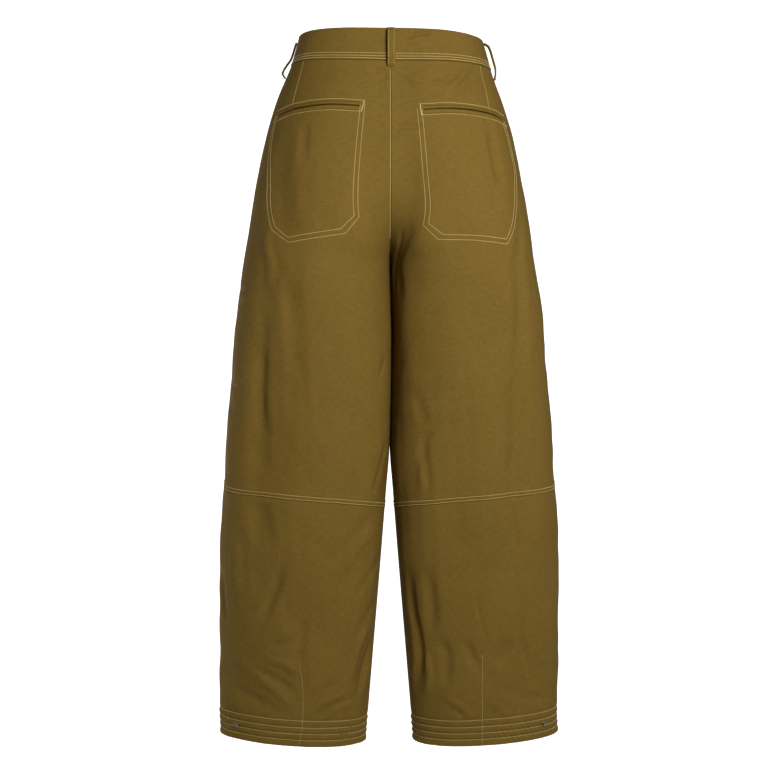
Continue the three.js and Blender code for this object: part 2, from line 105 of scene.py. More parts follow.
SEAM, WALL = 0.3, 1.6
CROTCH = 325.0
FORM = tuple(
    FormRow(*row)
    for row in (
        (0, 133.2, 96, 98, 30, 2.4),
        (46, 146.5, 100, 102, 36, 2.35),
        (100, 166.5, 112, 109, 50, 2.3),
        (150, 180, 121, 114, 63, 2.25),
        (200, 190, 126, 117, 76, 2.25),
        (250, 198.8, 127, 118, 89, 2.25),
        (325, 210.5, 121.5, 115.5, 104, 2.25),
        (400, 220.7, 113, 110, 112, 2.3),
        (500, 229.4, 102, 103, 117, 2.3),
        (600, 236.8, 92, 96, 121, 2.3),
        (700, 243.2, 84, 89, 127, 2.3),
        (800, 245, 77, 81, 132, 2.3),
        (900, 245, 70, 73, 136, 2.3),
        (1020, 243.2, 64, 66, 139, 2.3),
    )
)
CENTRE = tuple(
    CentreRow(*row)
    for row in (
        (0, 95.5, 97.5, 0, SEAM / 2),
        (46, 99.3, 101.3, 0, SEAM / 2),
        (100, 109.5, 107.5, 0, SEAM / 2),
        (150, 116.5, 111, 0, SEAM / 2),
        (200, 118, 111, 0, SEAM / 2),
        (230, 114, 106.5, 4, SEAM / 2),
        (260, 102, 94, 18, SEAM / 2),
        (285, 82, 75, 42, SEAM / 2),
        (305, 56, 50, 66, SEAM / 2),
        (318, 30, 22, 82, 0.25),
        (CROTCH, 6 + SEAM / 2, -6 + SEAM / 2, 90, 0.35),
        (345, 6 + SEAM / 2, -6 + SEAM / 2, 90, 0.4),
        (590, 3 + SEAM / 2, -3 + SEAM / 2, 90, 0.5),
        (640, 2 + SEAM / 2, -2 + SEAM / 2, 90, 4),
        (1020, SEAM / 2, SEAM / 2, 90, 35),
    )
)
# How full the corner inside the lobe is, at some heights.
INNER_REACH = ((150, 0.5), (CROTCH, 0.64), (600, 0.68), (1020, 0.6))


def smoothstep(value: Array, low: float, high: float) -> Array:
    """Eases from 0 at low to 1 at high."""
    t = np.clip((value - low) / (high - low), 0, 1)
    return t * t * (3 - 2 * t)


def bump(t: Array) -> Array:
    """A soft hump of height 1 over -1 to 1."""
    return np.clip(1 - t * t, 0, None) ** 2


class Curve:
    """A smooth curve through stated values that never overshoots them."""

    def __init__(self, at: Sequence[float], values: Sequence[float]) -> None:
        """Works out the slopes.

        Args:
            at: places of the values, rising.
            values: the values there.
        """
        self.x, self.y = np.array(at, float), np.array(values, float)
        rise = np.diff(self.y) / np.diff(self.x)
        before, after = rise[:-1], rise[1:]
        together = before * after > 0
        sums = np.where(together, before + after, 1.0)
        inner = np.where(together, 2 * before * after / sums, 0.0)
        self.slope = np.concatenate([rise[:1], inner, rise[-1:]])

    @classmethod
    def through(cls, places: tuple) -> "Curve":
        """The curve through (place, value) pairs."""
        return cls(*zip(*places))

    def __call__(self, at: Array) -> Array:
        """The curve's value at each place, held at its ends.

        Args:
            at: places along the curve.

        Returns:
            Values of the same shape.
        """
        place = np.clip(at, self.x[0], self.x[-1])
        i = np.clip(np.searchsorted(self.x, place) - 1, 0, len(self.x) - 2)
        width = self.x[i + 1] - self.x[i]
        t = (place - self.x[i]) / width
        ease = t * t * (3 - 2 * t)
        leave = t * (1 - t) ** 2 * width * self.slope[i]
        arrive = t * t * (t - 1) * width * self.slope[i + 1]
        return self.y[i] * (1 - ease) + self.y[i + 1] * ease + leave + arrive


# ---- Folds and creases --------------------------------------------------------------------------


class Profile(Enum):
    """How a crease looks across."""

    SOFT = "soft"
    SHARP = "sharp"


@dataclass(frozen=True)
class Fold:
    """One of the large folds, which the solids have too. Widths and slant are in u."""

    side: int
    u: float
    slant: float
    top: float
    bottom: float
    deep: float
    wide: float

    def height(self, u: Array, down: Array) -> Array:
        """How far the fold lifts the cloth at each place.

        Args:
            u: shares of the way round.
            down: distances below the waist.

        Returns:
            Heights in millimetres, below 0 in a trough.
        """
        middle = (self.top + self.bottom) / 2
        share = (down - middle) / ((self.bottom - self.top) / 2)
        crest = self.u + self.slant * share / 2
        return self.deep * bump(share) * bump((u - crest) / (2 * self.wide))


@dataclass(frozen=True)
class Crease:
    """A smaller crease along a path of (u, down) places. Deep and wide are in millimetres."""

    path: tuple[tuple[float, float], ...]
    deep: float
    wide: float
    profile: Profile = Profile.SOFT

    STEPS = 28
    FADE = 0.35  # share of its length in which each end fades
    SHARPNESS = 2.4

    def height(self, u: Array, down: Array, across: float) -> Array:
        """How far the crease lifts the cloth at each place.

        Args:
            u: shares of the way round.
            down: distances below the waist.
            across: millimetres round the half for one u.

        Returns:
            Heights in millimetres, below 0 in a trough.
        """
        out = np.zeros(np.broadcast(u, down).shape)
        line = smooth_path(np.array(self.path) * (across, 1.0), self.STEPS)
        a, b = np.broadcast_arrays(u * across, down)
        low, high = line.min(0) - self.wide, line.max(0) + self.wide
        near = (a > low[0]) & (a < high[0]) & (b > low[1]) & (b < high[1])
        if not near.any():
            return out
        off, share = distance_to(line, np.stack([a[near], b[near]], -1))
        x = off / self.wide
        sharp = self.profile is Profile.SHARP
        shape = np.clip(1 - np.abs(x), 0, 1) ** self.SHARPNESS if sharp else bump(x)
        ends = smoothstep(share, 0, self.FADE) * smoothstep(1 - share, 0, self.FADE)
        out[near] = self.deep * shape * ends
        return out


def smooth_path(points: Array, count: int) -> Array:
    """A curve through some points, as evenly spaced points.

    Args:
        points: (n, k) places that the curve passes through.
        count: how many spans to return.

    Returns:
        (count + 1, k) places along it.
    """
    lengths = np.concatenate([[0], np.cumsum(np.linalg.norm(np.diff(points, axis=0), axis=1))])
    curves = [Curve(lengths, column) for column in points.T]
    at = np.linspace(0, lengths[-1], count + 1)
    return np.stack([curve(at) for curve in curves], -1)


def distance_to(line: Array, points: Array) -> tuple[Array, Array]:
    """Signed distance from each point to a line in the plane, and the share along it.

    Args:
        line: (n, 2) points of the line.
        points: (m, 2) points.

    Returns:
        Distances, positive on the line's left, and shares from 0 to 1.
    """
    start, step = line[:-1], np.diff(line, axis=0)
    size = np.maximum((step**2).sum(1), 1e-12)
    to = points[:, None, :] - start[None]
    t = np.clip((to * step).sum(2) / size, 0, 1)
    gap = to - t[..., None] * step
    far = np.linalg.norm(gap, axis=2)
    best = far.argmin(1)
    pick = np.arange(len(points))
    turn = step[best, 0] * gap[pick, best, 1] - step[best, 1] * gap[pick, best, 0]
    share = (best + t[pick, best]) / len(step)
    return np.sign(turn) * far[pick, best], share


FOLDS = (
    Fold(LEFT, 0.345, 0.02, 190, 850, -4.5, 0.07),
    Fold(LEFT, 0.2, 0.01, 260, 930, 3, 0.06),
    Fold(LEFT, 0.66, 0.03, 420, 940, -2.5, 0.06),
    Fold(RIGHT, 0.34, -0.06, 230, 840, -3, 0.07),
    Fold(RIGHT, 0.6, -0.03, 400, 930, -2.5, 0.06),
    Fold(RIGHT, 0.86, -0.11, 262, 400, -3, 0.03),
    Fold(LEFT, -0.33, 0.03, 220, 760, -4, 0.07),
    Fold(LEFT, -0.64, -0.03, 380, 930, -3, 0.06),
    Fold(RIGHT, -0.35, -0.02, 250, 790, -3.5, 0.07),
    Fold(RIGHT, -0.62, 0.03, 400, 900, -3, 0.06),
    Fold(LEFT, 0.02, 0.0, -60, 80, -3.4, 0.2),
)

SHARP = Profile.SHARP
# Each crease has its path, its depth and width, and its profile if it isn't soft.
LEFT_CREASES = (
    # The seat and upper thigh.
    (
        ((0.42, 124), (0.385, 168), (0.395, 207), (0.435, 250), (0.445, 292),
         (0.41, 340)), -4.8, 30,
    ),
    (((0.36, 270), (0.322, 326), (0.32, 380)), 3.8, 13),
    (((0.5, 128), (0.525, 160), (0.536, 195)), -2.2, 12),
    (
        ((0.35, 290), (0.31, 353), (0.3, 420), (0.293, 480), (0.295, 540), (0.3, 600),
         (0.295, 650), (0.27, 700)), -4.0, 23,
    ),
    (((0.3, 425), (0.292, 500), (0.297, 575)), -3.2, 15),
    (((0.46, 306), (0.42, 361), (0.445, 423), (0.457, 492), (0.453, 555)), -3.2, 20),
    (((0.0, 358), (0.13, 364), (0.3, 368)), -3.0, 6, SHARP),
    (((-0.02, 498), (0.1, 502), (0.21, 503)), -4.2, 7, SHARP),
    (((0.04, 381), (0.12, 382), (0.19, 380)), -2.4, 7),
    (((0.05, 536), (0.11, 533), (0.17, 528)), -2.4, 7),
    (((0.885, 570), (0.85, 610), (0.81, 665)), -2.2, 9),
    (((0.85, 460), (0.81, 492)), -2.4, 7),
    (((0.43, 508), (0.55, 512), (0.685, 520), (0.86, 522)), 0.6, 3, SHARP),
    # The calf and hem.
    (((0.31, 655), (0.33, 703), (0.39, 731)), -3.8, 22),
    (((0.432, 740), (0.406, 780), (0.358, 819), (0.32, 855)), -4, 11),
    (((0.21, 700), (0.2, 768), (0.23, 810)), 3.6, 16),
    (((0.07, 750), (0.1, 806), (0.16, 850)), -3.6, 14),
    (((0.535, 822), (0.522, 862), (0.525, 905)), -3.2, 13),
    (((0.36, 874), (0.465, 862), (0.55, 850)), -1.8, 11),
    (((0.34, 884), (0.454, 893), (0.55, 914)), 2.0, 9),
    (((0.28, 896), (0.413, 915), (0.54, 940)), -2.0, 9),
    (((0.3, 908), (0.424, 934), (0.52, 962)), 2.0, 9),
    (((0.54, 980), (0.645, 949), (0.8, 934)), 2.0, 7),
    (((0.6, 982), (0.73, 958), (0.86, 948)), 1.7, 7),
    (((0.57, 980), (0.69, 955), (0.83, 941)), -1.8, 6),
    (((0.55, 962), (0.62, 935), (0.76, 914)), -1.5, 9),
    (((0.12, 925), (0.308, 944), (0.5, 970)), -2.0, 11),
    (((0.91, 835), (0.83, 862), (0.795, 904), (0.765, 942)), 3.8, 11),
    (((0.95, 850), (0.89, 885), (0.85, 930), (0.83, 960)), -3.4, 10),
    (((0.96, 885), (0.9, 915), (0.86, 955)), 2.9, 9),
    (((0.9, 690), (0.75, 732), (0.7, 760), (0.6, 772)), 1.8, 14),
    (((0.84, 672), (0.72, 722), (0.62, 756)), -1.7, 14),
    (((0.97, 730), (0.86, 765), (0.74, 812)), -1.8, 11),
    (((0.99, 790), (0.9, 812), (0.78, 860)), -1.8, 12),
    (((0.02, 860), (0.14, 905), (0.3, 940), (0.36, 990)), -3.6, 30),
    # The band and yoke.
    (((0.86, 15), (0.915, 18), (0.965, 17.7)), -1.7, 4),
    (((0.87, 66), (0.928, 60), (0.98, 63)), -2.2, 5),
    (((0.9, 77), (0.968, 70), (0.995, 73)), -2.2, 5),
    # The fronts.
    (((-0.9, 215), (-0.75, 240), (-0.55, 255)), -3.8, 10),
    (((-0.95, 250), (-0.8, 280), (-0.62, 300)), -3.8, 10),
    (((-0.97, 300), (-0.86, 345), (-0.8, 410)), -4, 11),
    (((-0.3, 330), (-0.28, 460), (-0.3, 600)), -4, 14),
    (((-0.5, 560), (-0.55, 650), (-0.48, 760)), -3.8, 16),
    (((-0.9, 560), (-0.78, 600), (-0.7, 640)), -3.4, 11),
    (((-0.85, 770), (-0.83, 850), (-0.88, 930)), -4.3, 13),
    (((-0.12, 760), (-0.15, 830), (-0.22, 900)), -3.8, 13),
    (((-0.4, 935), (-0.5, 950), (-0.6, 962)), 2.7, 8),
    (((-0.7, 930), (-0.6, 945), (-0.52, 968)), -2.9, 7),
)
RIGHT_CREASES = (
    # The seat and upper thigh.
    (((0.425, 116), (0.43, 185), (0.41, 240)), -4.0, 13),
    (((0.46, 210), (0.472, 275)), -1.9, 12),
    (((1.0, 147), (0.93, 140.5), (0.8, 143)), -4.6, 6, SHARP),
    (((0.99, 153), (0.93, 149), (0.82, 151)), 1.6, 6),
    (((0.955, 268), (0.92, 305), (0.9, 340), (0.9, 395)), -2.6, 9),
    (
        ((0.29, 215), (0.292, 296), (0.286, 380), (0.295, 464), (0.31, 563), (0.342, 640),
         (0.36, 700)), -5.0, 19,
    ),
    (((0.335, 380), (0.34, 480), (0.345, 590), (0.35, 700)), -3.5, 17),
    (((0.66, 545), (0.726, 591), (0.765, 640)), -2.2, 11),
    (((0.72, 570), (0.708, 619), (0.716, 665)), -2.0, 9),
    (((0.745, 590), (0.735, 655)), 1.6, 9),
    (((0.76, 500), (0.7, 560)), -1.5, 13),
    (((0.89, 521), (0.683, 516), (0.52, 512), (0.327, 509)), 0.6, 3, SHARP),
    # The calf and hem.
    (
        ((0.83, 745), (0.86, 806), (0.838, 850), (0.832, 880), (0.87, 925),
         (0.915, 962)), -4.8, 13,
    ),
    (((0.75, 750), (0.744, 818), (0.768, 865)), -3.4, 14),
    (((0.735, 853), (0.69, 885), (0.716, 935)), -3.2, 13),
    (((0.8, 870), (0.79, 910), (0.83, 950)), 3.4, 9),
    (((0.545, 780), (0.521, 824), (0.497, 856), (0.474, 876)), -2.4, 3.2, SHARP),
    (((0.6, 855), (0.564, 888), (0.52, 908)), -3.2, 11),
    (((0.365, 856), (0.404, 876), (0.46, 901)), -3.4, 13),
    (((0.74, 936), (0.63, 956), (0.55, 978)), 1.6, 8),
    (((0.72, 950), (0.6, 972)), -1.4, 6),
    (((0.53, 942), (0.45, 956), (0.36, 975)), 1.5, 8),
    (((0.48, 924), (0.337, 938), (0.12, 952)), -1.9, 12),
    (((0.36, 640), (0.355, 690), (0.345, 740)), -2.9, 9),
    (((0.345, 840), (0.314, 874), (0.29, 910)), -2.4, 8),
    (((0.27, 865), (0.225, 895)), 1.9, 4),
    # The band and yoke.
    (((0.36, 48), (0.518, 75), (0.66, 103)), -3.2, 9),
    (((0.4, 46), (0.55, 70), (0.7, 95)), 2.4, 8),
    (((0.99, 70), (0.913, 75), (0.85, 88)), -2.8, 6),
    (((0.79, 76), (0.687, 69), (0.61, 81)), -2.4, 8),
    (((0.93, 14), (0.807, 9), (0.66, 5.5)), -3.2, 5),
    (((0.74, 26), (0.655, 24)), -1.4, 4),
    # The fronts.
    (((-0.92, 225), (-0.78, 238), (-0.5, 262)), -3.4, 9),
    (((-0.96, 262), (-0.83, 298), (-0.68, 322)), -3.6, 11),
    (((-0.97, 312), (-0.88, 360), (-0.84, 400)), -3.6, 10),
    (((-0.33, 300), (-0.3, 430), (-0.33, 570)), -3.6, 13),
    (((-0.55, 600), (-0.5, 690), (-0.56, 790)), -3.8, 17),
    (((-0.88, 590), (-0.8, 625), (-0.74, 668)), -3.2, 10),
    (((-0.8, 740), (-0.85, 830), (-0.8, 915)), -4, 12),
    (((-0.16, 740), (-0.12, 800), (-0.2, 880)), -3.4, 12),
    (((-0.35, 940), (-0.45, 953), (-0.52, 965)), 2.9, 7),
    (((-0.66, 925), (-0.58, 944), (-0.5, 966)), -2.9, 8),
)
CREASES = {LEFT: LEFT_CREASES, RIGHT: RIGHT_CREASES}


# ---- The cloth's surface ------------------------------------------------------------------------


class ClothSurface:
    """The form with its folds and creases, sampled once so that places on it are quick to find."""

    STEPS = 96
    ACROSS = 1601
    TOP, BOTTOM = -12.0, 1030.0
    EASE = 9
    UNEVEN = ((70.0, 0.9), (26.0, 0.3))  # length and height of its slight waves
    WAVES, DRAWN_OUT, SHARE_OF_WAVE = 14, 1.8, 3.7
    PRESS = {"by": 4.2, "depth": 85.0, "width": 70.0, "top": 262.0, "bottom": 660.0, "sway": 3.5}

    def __init__(self) -> None:
        """Samples the form's sections at every millimetre of height."""
        self.downs = np.arange(self.TOP, self.BOTTOM + 1)
        self.us = np.linspace(-1, 1, self.ACROSS)
        shares = np.linspace(0, 1, self.ACROSS // 2 + 1)
        spots, self.lengths = {}, {}
        for name, facing in (("back", 1.0), ("front", -1.0)):
            line, self.lengths[name] = self._sections(name)
            spots[name] = self._evenly(line, shares) * (1.0, facing)
        points = self._eased(np.concatenate([spots["front"][:, :0:-1], spots["back"]], axis=1))
        down = np.broadcast_to(-self.downs[:, None], points.shape[:2])
        self.points = np.dstack([points, down])
        below = np.gradient(self.points, axis=0)
        across = np.gradient(self.points, axis=1)
        normal = np.cross(below, across)
        self.normals = normal / np.linalg.norm(normal, axis=2, keepdims=True)
        self.lifts = {side: self._relief(side)[..., None] for side in (LEFT, RIGHT)}

    def _curve(self, rows: tuple, column: str) -> Array:
        """One column of a table, at every sampled height."""
        return Curve([r.down for r in rows], [getattr(r, column) for r in rows])(self.downs)

    def _sections(self, which: str) -> tuple[Array, Array]:
        """The half sections of the back or front.

        Args:
            which: back or front.

        Returns:
            (heights, points, 2) places, and each section's length.
        """
        columns = ("side", which, "lobe", "square")
        side, full, lobe, square = (self._curve(FORM, column) for column in columns)
        seam, turn, apart = (self._curve(CENTRE, k) for k in (which, "turn", "apart"))
        reach = Curve.through(INNER_REACH)(self.downs)
        angle = np.linspace(0, math.pi / 2, self.STEPS + 1)[None]
        power = (2 / square)[:, None]
        cosine = np.clip(np.cos(angle), 0, 1) ** power
        outer_x = lobe[:, None] + (side - lobe)[:, None] * cosine
        outer = np.dstack([outer_x, full[:, None] * np.sin(angle) ** power])
        bend = np.radians(turn)
        arm = reach * (np.cos(bend) * (lobe - apart) + np.sin(bend) * (full - seam))
        corners = (
            np.stack([lobe, full], -1),
            np.stack([lobe - reach * (lobe - apart), full], -1),
            np.stack([apart + np.cos(bend) * arm, seam + np.sin(bend) * arm], -1),
            np.stack([apart, seam], -1),
        )
        t = np.linspace(0, 1, self.STEPS + 1)[None, :, None]
        weights = ((1 - t) ** 3, 3 * t * (1 - t) ** 2, 3 * t * t * (1 - t), t**3)
        inner = sum(w * c[:, None] for w, c in zip(weights, corners))
        line = np.concatenate([outer, inner[:, 1:]], axis=1)
        total = np.linalg.norm(np.diff(line, axis=1), axis=2).sum(1)
        return line, total

    @staticmethod
    def _evenly(line: Array, shares: Array) -> Array:
        """Each section again, at even shares of its length.

        Args:
            line: (heights, points, 2) places.
            shares: the shares wanted.

        Returns:
            (heights, shares, 2) places.
        """
        steps = np.linalg.norm(np.diff(line, axis=1), axis=2)
        lengths = np.concatenate([np.zeros((len(line), 1)), np.cumsum(steps, axis=1)], axis=1)
        rows = [
            [np.interp(shares * far[-1], far, row[:, k]) for k in (0, 1)]
            for far, row in zip(lengths, line)
        ]
        return np.moveaxis(np.array(rows), 1, 2)

    def _eased(self, points: Array) -> Array:
        """The sections with their changes down the cloth made gentle."""
        reach = 3 * self.EASE
        weights = np.exp(-0.5 * (np.arange(-reach, reach + 1) / self.EASE) ** 2)
        padded = np.pad(points, ((reach, reach), (0, 0), (0, 0)), mode="edge")
        shifted = (w * padded[i : i + len(points)] for i, w in enumerate(weights / weights.sum()))
        keep = smoothstep(self.downs, 20, 60)[:, None, None]
        return points * (1 - keep) + sum(shifted) * keep

    def length(self, u: Array, down: Array) -> Array:
        """Millimetres round the half section for one u.

        Args:
            u: places, of which only the sign counts.
            down: distances below the waist.

        Returns:
            Lengths.
        """
        back = np.interp(down, self.downs, self.lengths["back"])
        front = np.interp(down, self.downs, self.lengths["front"])
        return np.where(np.asarray(u) >= 0, back, front)

    def _at(self, table: Array, u: Array, down: Array) -> Array:
        """A sampled table's values at places between its samples.

        Args:
            table: (heights, us, 3) samples.
            u: shares of the way round.
            down: distances below the waist.

        Returns:
            Values with one more axis than u.
        """
        row = np.clip(down - self.TOP, 0, len(self.downs) - 1.001)
        column = np.clip((u + 1) / 2 * (len(self.us) - 1), 0, len(self.us) - 1.001)
        i, j = row.astype(int), column.astype(int)
        s, t = (row - i)[..., None], (column - j)[..., None]
        upper = table[i, j] * (1 - t) + table[i, j + 1] * t
        lower = table[i + 1, j] * (1 - t) + table[i + 1, j + 1] * t
        return upper * (1 - s) + lower * s

    def _wander(self, side: int, down: Array) -> Array:
        """Slight unevenness all over, longer down the cloth than across it.

        Args:
            side: LEFT or RIGHT.
            down: distances below the waist, as a column.

        Returns:
            (heights, us) lifts in millimetres.
        """
        chance = np.random.default_rng(20 + side)
        across = self.us[None] * self.length(self.us[None], down)
        total = np.zeros(across.shape)
        for wave, tall in self.UNEVEN:
            for _ in range(self.WAVES):
                angle, start = chance.uniform(0, math.pi), chance.uniform(0, math.tau)
                size = wave * chance.uniform(0.75, 1.4)
                turns = across * math.cos(angle) / size
                turns = turns + down * math.sin(angle) / size / self.DRAWN_OUT
                total += tall / self.SHARE_OF_WAVE * np.sin(turns * math.tau + start)
        calm = 0.45 + 0.55 * smoothstep(down, 180, 420)
        return total * calm * smoothstep(1 - np.abs(self.us[None]), 0.0, 0.15)

    def _relief(self, side: int) -> Array:
        """How far the folds, the creases and the unevenness lift the cloth.

        Args:
            side: LEFT or RIGHT.

        Returns:
            (heights, us) lifts in millimetres.
        """
        u, down = self.us[None], self.downs[:, None]
        total = sum(fold.height(u, down) for fold in FOLDS if fold.side == side)
        total = total + self._wander(side, down)
        for row in CREASES[side]:
            crease = Crease(*row)
            middle = np.array(crease.path).mean(0)
            total = total + crease.height(u, down, float(self.length(*middle)))
        return total

    def place(
        self, side: int, u: Array, down: Array, out: Array = 0.0
    ) -> tuple[Array, Array]:
        """Points on the cloth, or outside it, and the directions in which it faces there.

        Args:
            side: LEFT or RIGHT.
            u: shares of the way round.
            down: distances below the waist.
            out: distances outside the cloth's face.

        Returns:
            Points in millimetres and unit directions, each with one more axis than u.
        """
        u, down = np.broadcast_arrays(np.asarray(u, float), np.asarray(down, float))
        plain = self._at(self.points, u, down) * (side, 1, 1)
        facing = self._at(self.normals, u, down) * (side, 1, 1)
        facing = facing / np.linalg.norm(facing, axis=-1, keepdims=True)
        press = self.PRESS
        top, bottom = press["top"], press["bottom"]
        height = (down - (top + bottom) / 2) * 2 / (bottom - top)
        behind = plain[..., 1] / press["depth"]
        sway = press["sway"] * behind * bump(behind)
        plain[..., 0] -= press["by"] * bump(height) * sway * bump(plain[..., 0] / press["width"])
        lift = self._at(self.lifts[side], u, down)[..., 0] + out
        return plain + facing * lift[..., None], facing


# ---- Edges that pieces share --------------------------------------------------------------------


@dataclass(frozen=True)
class Edges:
    """The heights of the seams and edges round the trousers, as the solids have them."""

    band_back: float = 46.0
    band_side: float = 41.0
    band_front: float = 43.0
    front_dip: float = 8.0
    knee_side: float = 647.0
    knee_inner: float = 677.0
    hem: float = 1004.5
    hem_inner: float = 6.5
    hem_behind: float = 5.0
    hem_depth: float = 38.0
    side_seam: float = -0.06

    def top(self, side: int, u: Array) -> Array:
        """The waistband's top edge."""
        drop = -2.0 if side == LEFT else 5.0
        dip = np.where(u < 0, self.front_dip * np.sin(u * math.pi / 2) ** 2, 0.0)
        return drop * np.cos(u * math.pi / 2) ** 2 + dip

    def band(self, side: int, u: Array) -> Array:
        """The waistband's lower edge."""
        far = np.where(u < 0, self.band_front, self.band_back)
        share = np.sin(u * math.pi / 2) ** 2
        return self.top(side, u) + self.band_side + (far - self.band_side) * share

    def knee(self, u: Array) -> Array:
        """The seam across the back of the knee."""
        return self.knee_side + (self.knee_inner - self.knee_side) * u

    def foot(self, u: Array) -> Array:
        """The hem's edge."""
        inner, behind = self.hem_inner * np.cos(u * math.pi), self.hem_behind * np.sin(u * math.pi)
        return self.hem - inner + behind


# ---- Meshes -------------------------------------------------------------------------------------


def make_object(
    name: str,
    points: Array,
    faces: list | Array,
    material: Material,
    cloth_map: Array | None = None,
) -> Object:
    """A closed mesh object at the origin from points in millimetres, facing outwards.

    Args:
        name: its name.
        points: (n, 3) places.
        faces: corner lists.
        material: its material.
        cloth_map: (n, 2) places on the flat cloth in millimetres, for the weave.

    Returns:
        The object, linked to the scene.
    """
    mesh = bpy.data.meshes.new(name)
    corner_lists = faces.tolist() if isinstance(faces, Array) else faces
    mesh.from_pydata((points * MM).tolist(), [], corner_lists)
    mesh.validate()
    if cloth_map is not None:
        layer = mesh.uv_layers.new(name="cloth")
        corners = np.zeros(len(mesh.loops), np.int32)
        mesh.loops.foreach_get("vertex_index", corners)
        layer.data.foreach_set("uv", (cloth_map[corners] * MM).astype(np.float32).ravel())
    mesh.shade_smooth()
    mesh.materials.append(material)
    face_outwards(mesh)
    return link_object(name, mesh)


def link_object(name: str, data: bpy.types.ID) -> Object:
    """A new object with its data, linked to the scene."""
    obj = bpy.data.objects.new(name, data)
    bpy.context.scene.collection.objects.link(obj)
    return obj


def make_shell(
    name: str,
    grids: list[Array],
    flat: Array,
    material: Material,
    keep: Array | None = None,
) -> Object:
    """A piece of cloth between an outer and an inner grid of points.

    Args:
        name: its name.
        grids: the (rows, columns, 3) places outside and inside.
        flat: the (rows, columns, 2) places on the flat cloth.
        material: its material.
        keep: (rows - 1, columns - 1) cells that are cloth, or None for all of them.

    Returns:
        The object.
    """
    points = np.concatenate([grid.reshape(-1, 3) for grid in grids])
    cloth = np.tile(flat.reshape(-1, 2), (2, 1))
    used, corners = np.unique(shell_faces(*flat.shape[:2], keep), return_inverse=True)
    return make_object(name, points[used], corners.reshape(-1, 4), material, cloth[used])


def make_bar(
    name: str, corners: list[Array], flat: list[Array], material: Material
) -> Object:
    """A closed bar from the lines, placed and flat, that its section's corners run along."""
    points, cloth = (np.stack(x, 1).reshape(-1, x[0].shape[-1]) for x in (corners, flat))
    return make_object(name, points, strip_faces(len(corners[0]), len(corners)), material, cloth)


def shell_faces(rows: int, columns: int, keep: Array | None = None) -> Array:
    """Faces of a closed shell whose outer grid of points comes first and its inner grid second.

    Args:
        rows: rows of points in a grid.
        columns: points in a row.
        keep: (rows - 1, columns - 1) cells that are cloth, or None for all of them.

    Returns:
        (n, 4) corners.
    """
    if keep is None:
        keep = np.ones((rows - 1, columns - 1), bool)
    ids = np.arange(rows * columns).reshape(rows, columns)
    inner = rows * columns
    a, b, c, d = ids[:-1, :-1], ids[1:, :-1], ids[1:, 1:], ids[:-1, 1:]
    outer_faces = np.stack([a, b, c, d], -1)[keep]
    faces = [outer_faces, outer_faces[:, ::-1] + inner]
    padded = np.pad(keep, 1)
    for first, second, i, j in ((a, b, 0, -1), (b, c, 1, 0), (c, d, 0, 1), (d, a, -1, 0)):
        rim = keep & ~padded[1 + i : rows + i, 1 + j : columns + j]
        p, q = first[rim], second[rim]
        faces.append(np.stack([q, p, p + inner, q + inner], -1))
    return np.concatenate(faces)


def rings_of(count: int, corners: int) -> tuple[Array, Array]:
    """The numbers of the points in some rings, and of the next point round from each."""
    ids = np.arange(count * corners).reshape(count, corners)
    return ids, np.roll(ids, -1, axis=1)


def strip_faces(sections: int, corners: int) -> list[list[int]]:
    """Faces of a closed bar made of sections, each a ring of the same number of corners.

    Args:
        sections: how many sections it has.
        corners: corners of each.

    Returns:
        Corner lists, the two end caps included.
    """
    ids, beside = rings_of(sections, corners)
    sides = np.stack([ids[:-1], ids[1:], beside[1:], beside[:-1]], -1).reshape(-1, 4)
    return [*sides.tolist(), ids[0].tolist(), ids[-1, ::-1].tolist()]


def face_outwards(mesh: bpy.types.Mesh) -> None:
    """Turns a closed mesh round if its faces point inwards."""
    mesh.calc_loop_triangles()
    points = np.zeros(len(mesh.vertices) * 3)
    mesh.vertices.foreach_get("co", points)
    points = points.reshape(-1, 3)
    triangles = np.zeros(len(mesh.loop_triangles) * 3, np.int32)
    mesh.loop_triangles.foreach_get("vertices", triangles)
    a, b, c = (points[triangles.reshape(-1, 3)[:, k]] for k in range(3))
    if (a * np.cross(b, c)).sum() < 0:
        mesh.flip_normals()


def lines_between(low: Array, high: Array, spacing: float, tight: tuple) -> Array:
    """Heights or places from one line to another, closer together near both.

    Args:
        low: the first line.
        high: the last line.
        spacing: usual distance between lines.
        tight: distances of the extra lines from each end.

    Returns:
        (lines, places) values.
    """
    low, high = np.atleast_1d(low).astype(float), np.atleast_1d(high).astype(float)
    first, last = low + tight[-1], high - tight[-1]
    count = max(2, round(float(np.mean(last - first)) / spacing))
    middle = first + (last - first) * np.linspace(0, 1, count + 1)[:, None]
    start = [low] + [low + t for t in tight[:-1]]
    end = [high - t for t in reversed(tight[:-1])] + [high]
    return np.vstack([*start, middle, *end])


# ---- Shader node groups -------------------------------------------------------------------------


def srgb(red: int, green: int, blue: int) -> tuple[float, float, float, float]:
    """A colour given as on screen, as the shader wants it."""
    values = [c / 255 for c in (red, green, blue)]
    linear = [v / 12.92 if v <= 0.04045 else ((v + 0.055) / 1.055) ** 2.4 for v in values]
    return (*linear, 1.0)


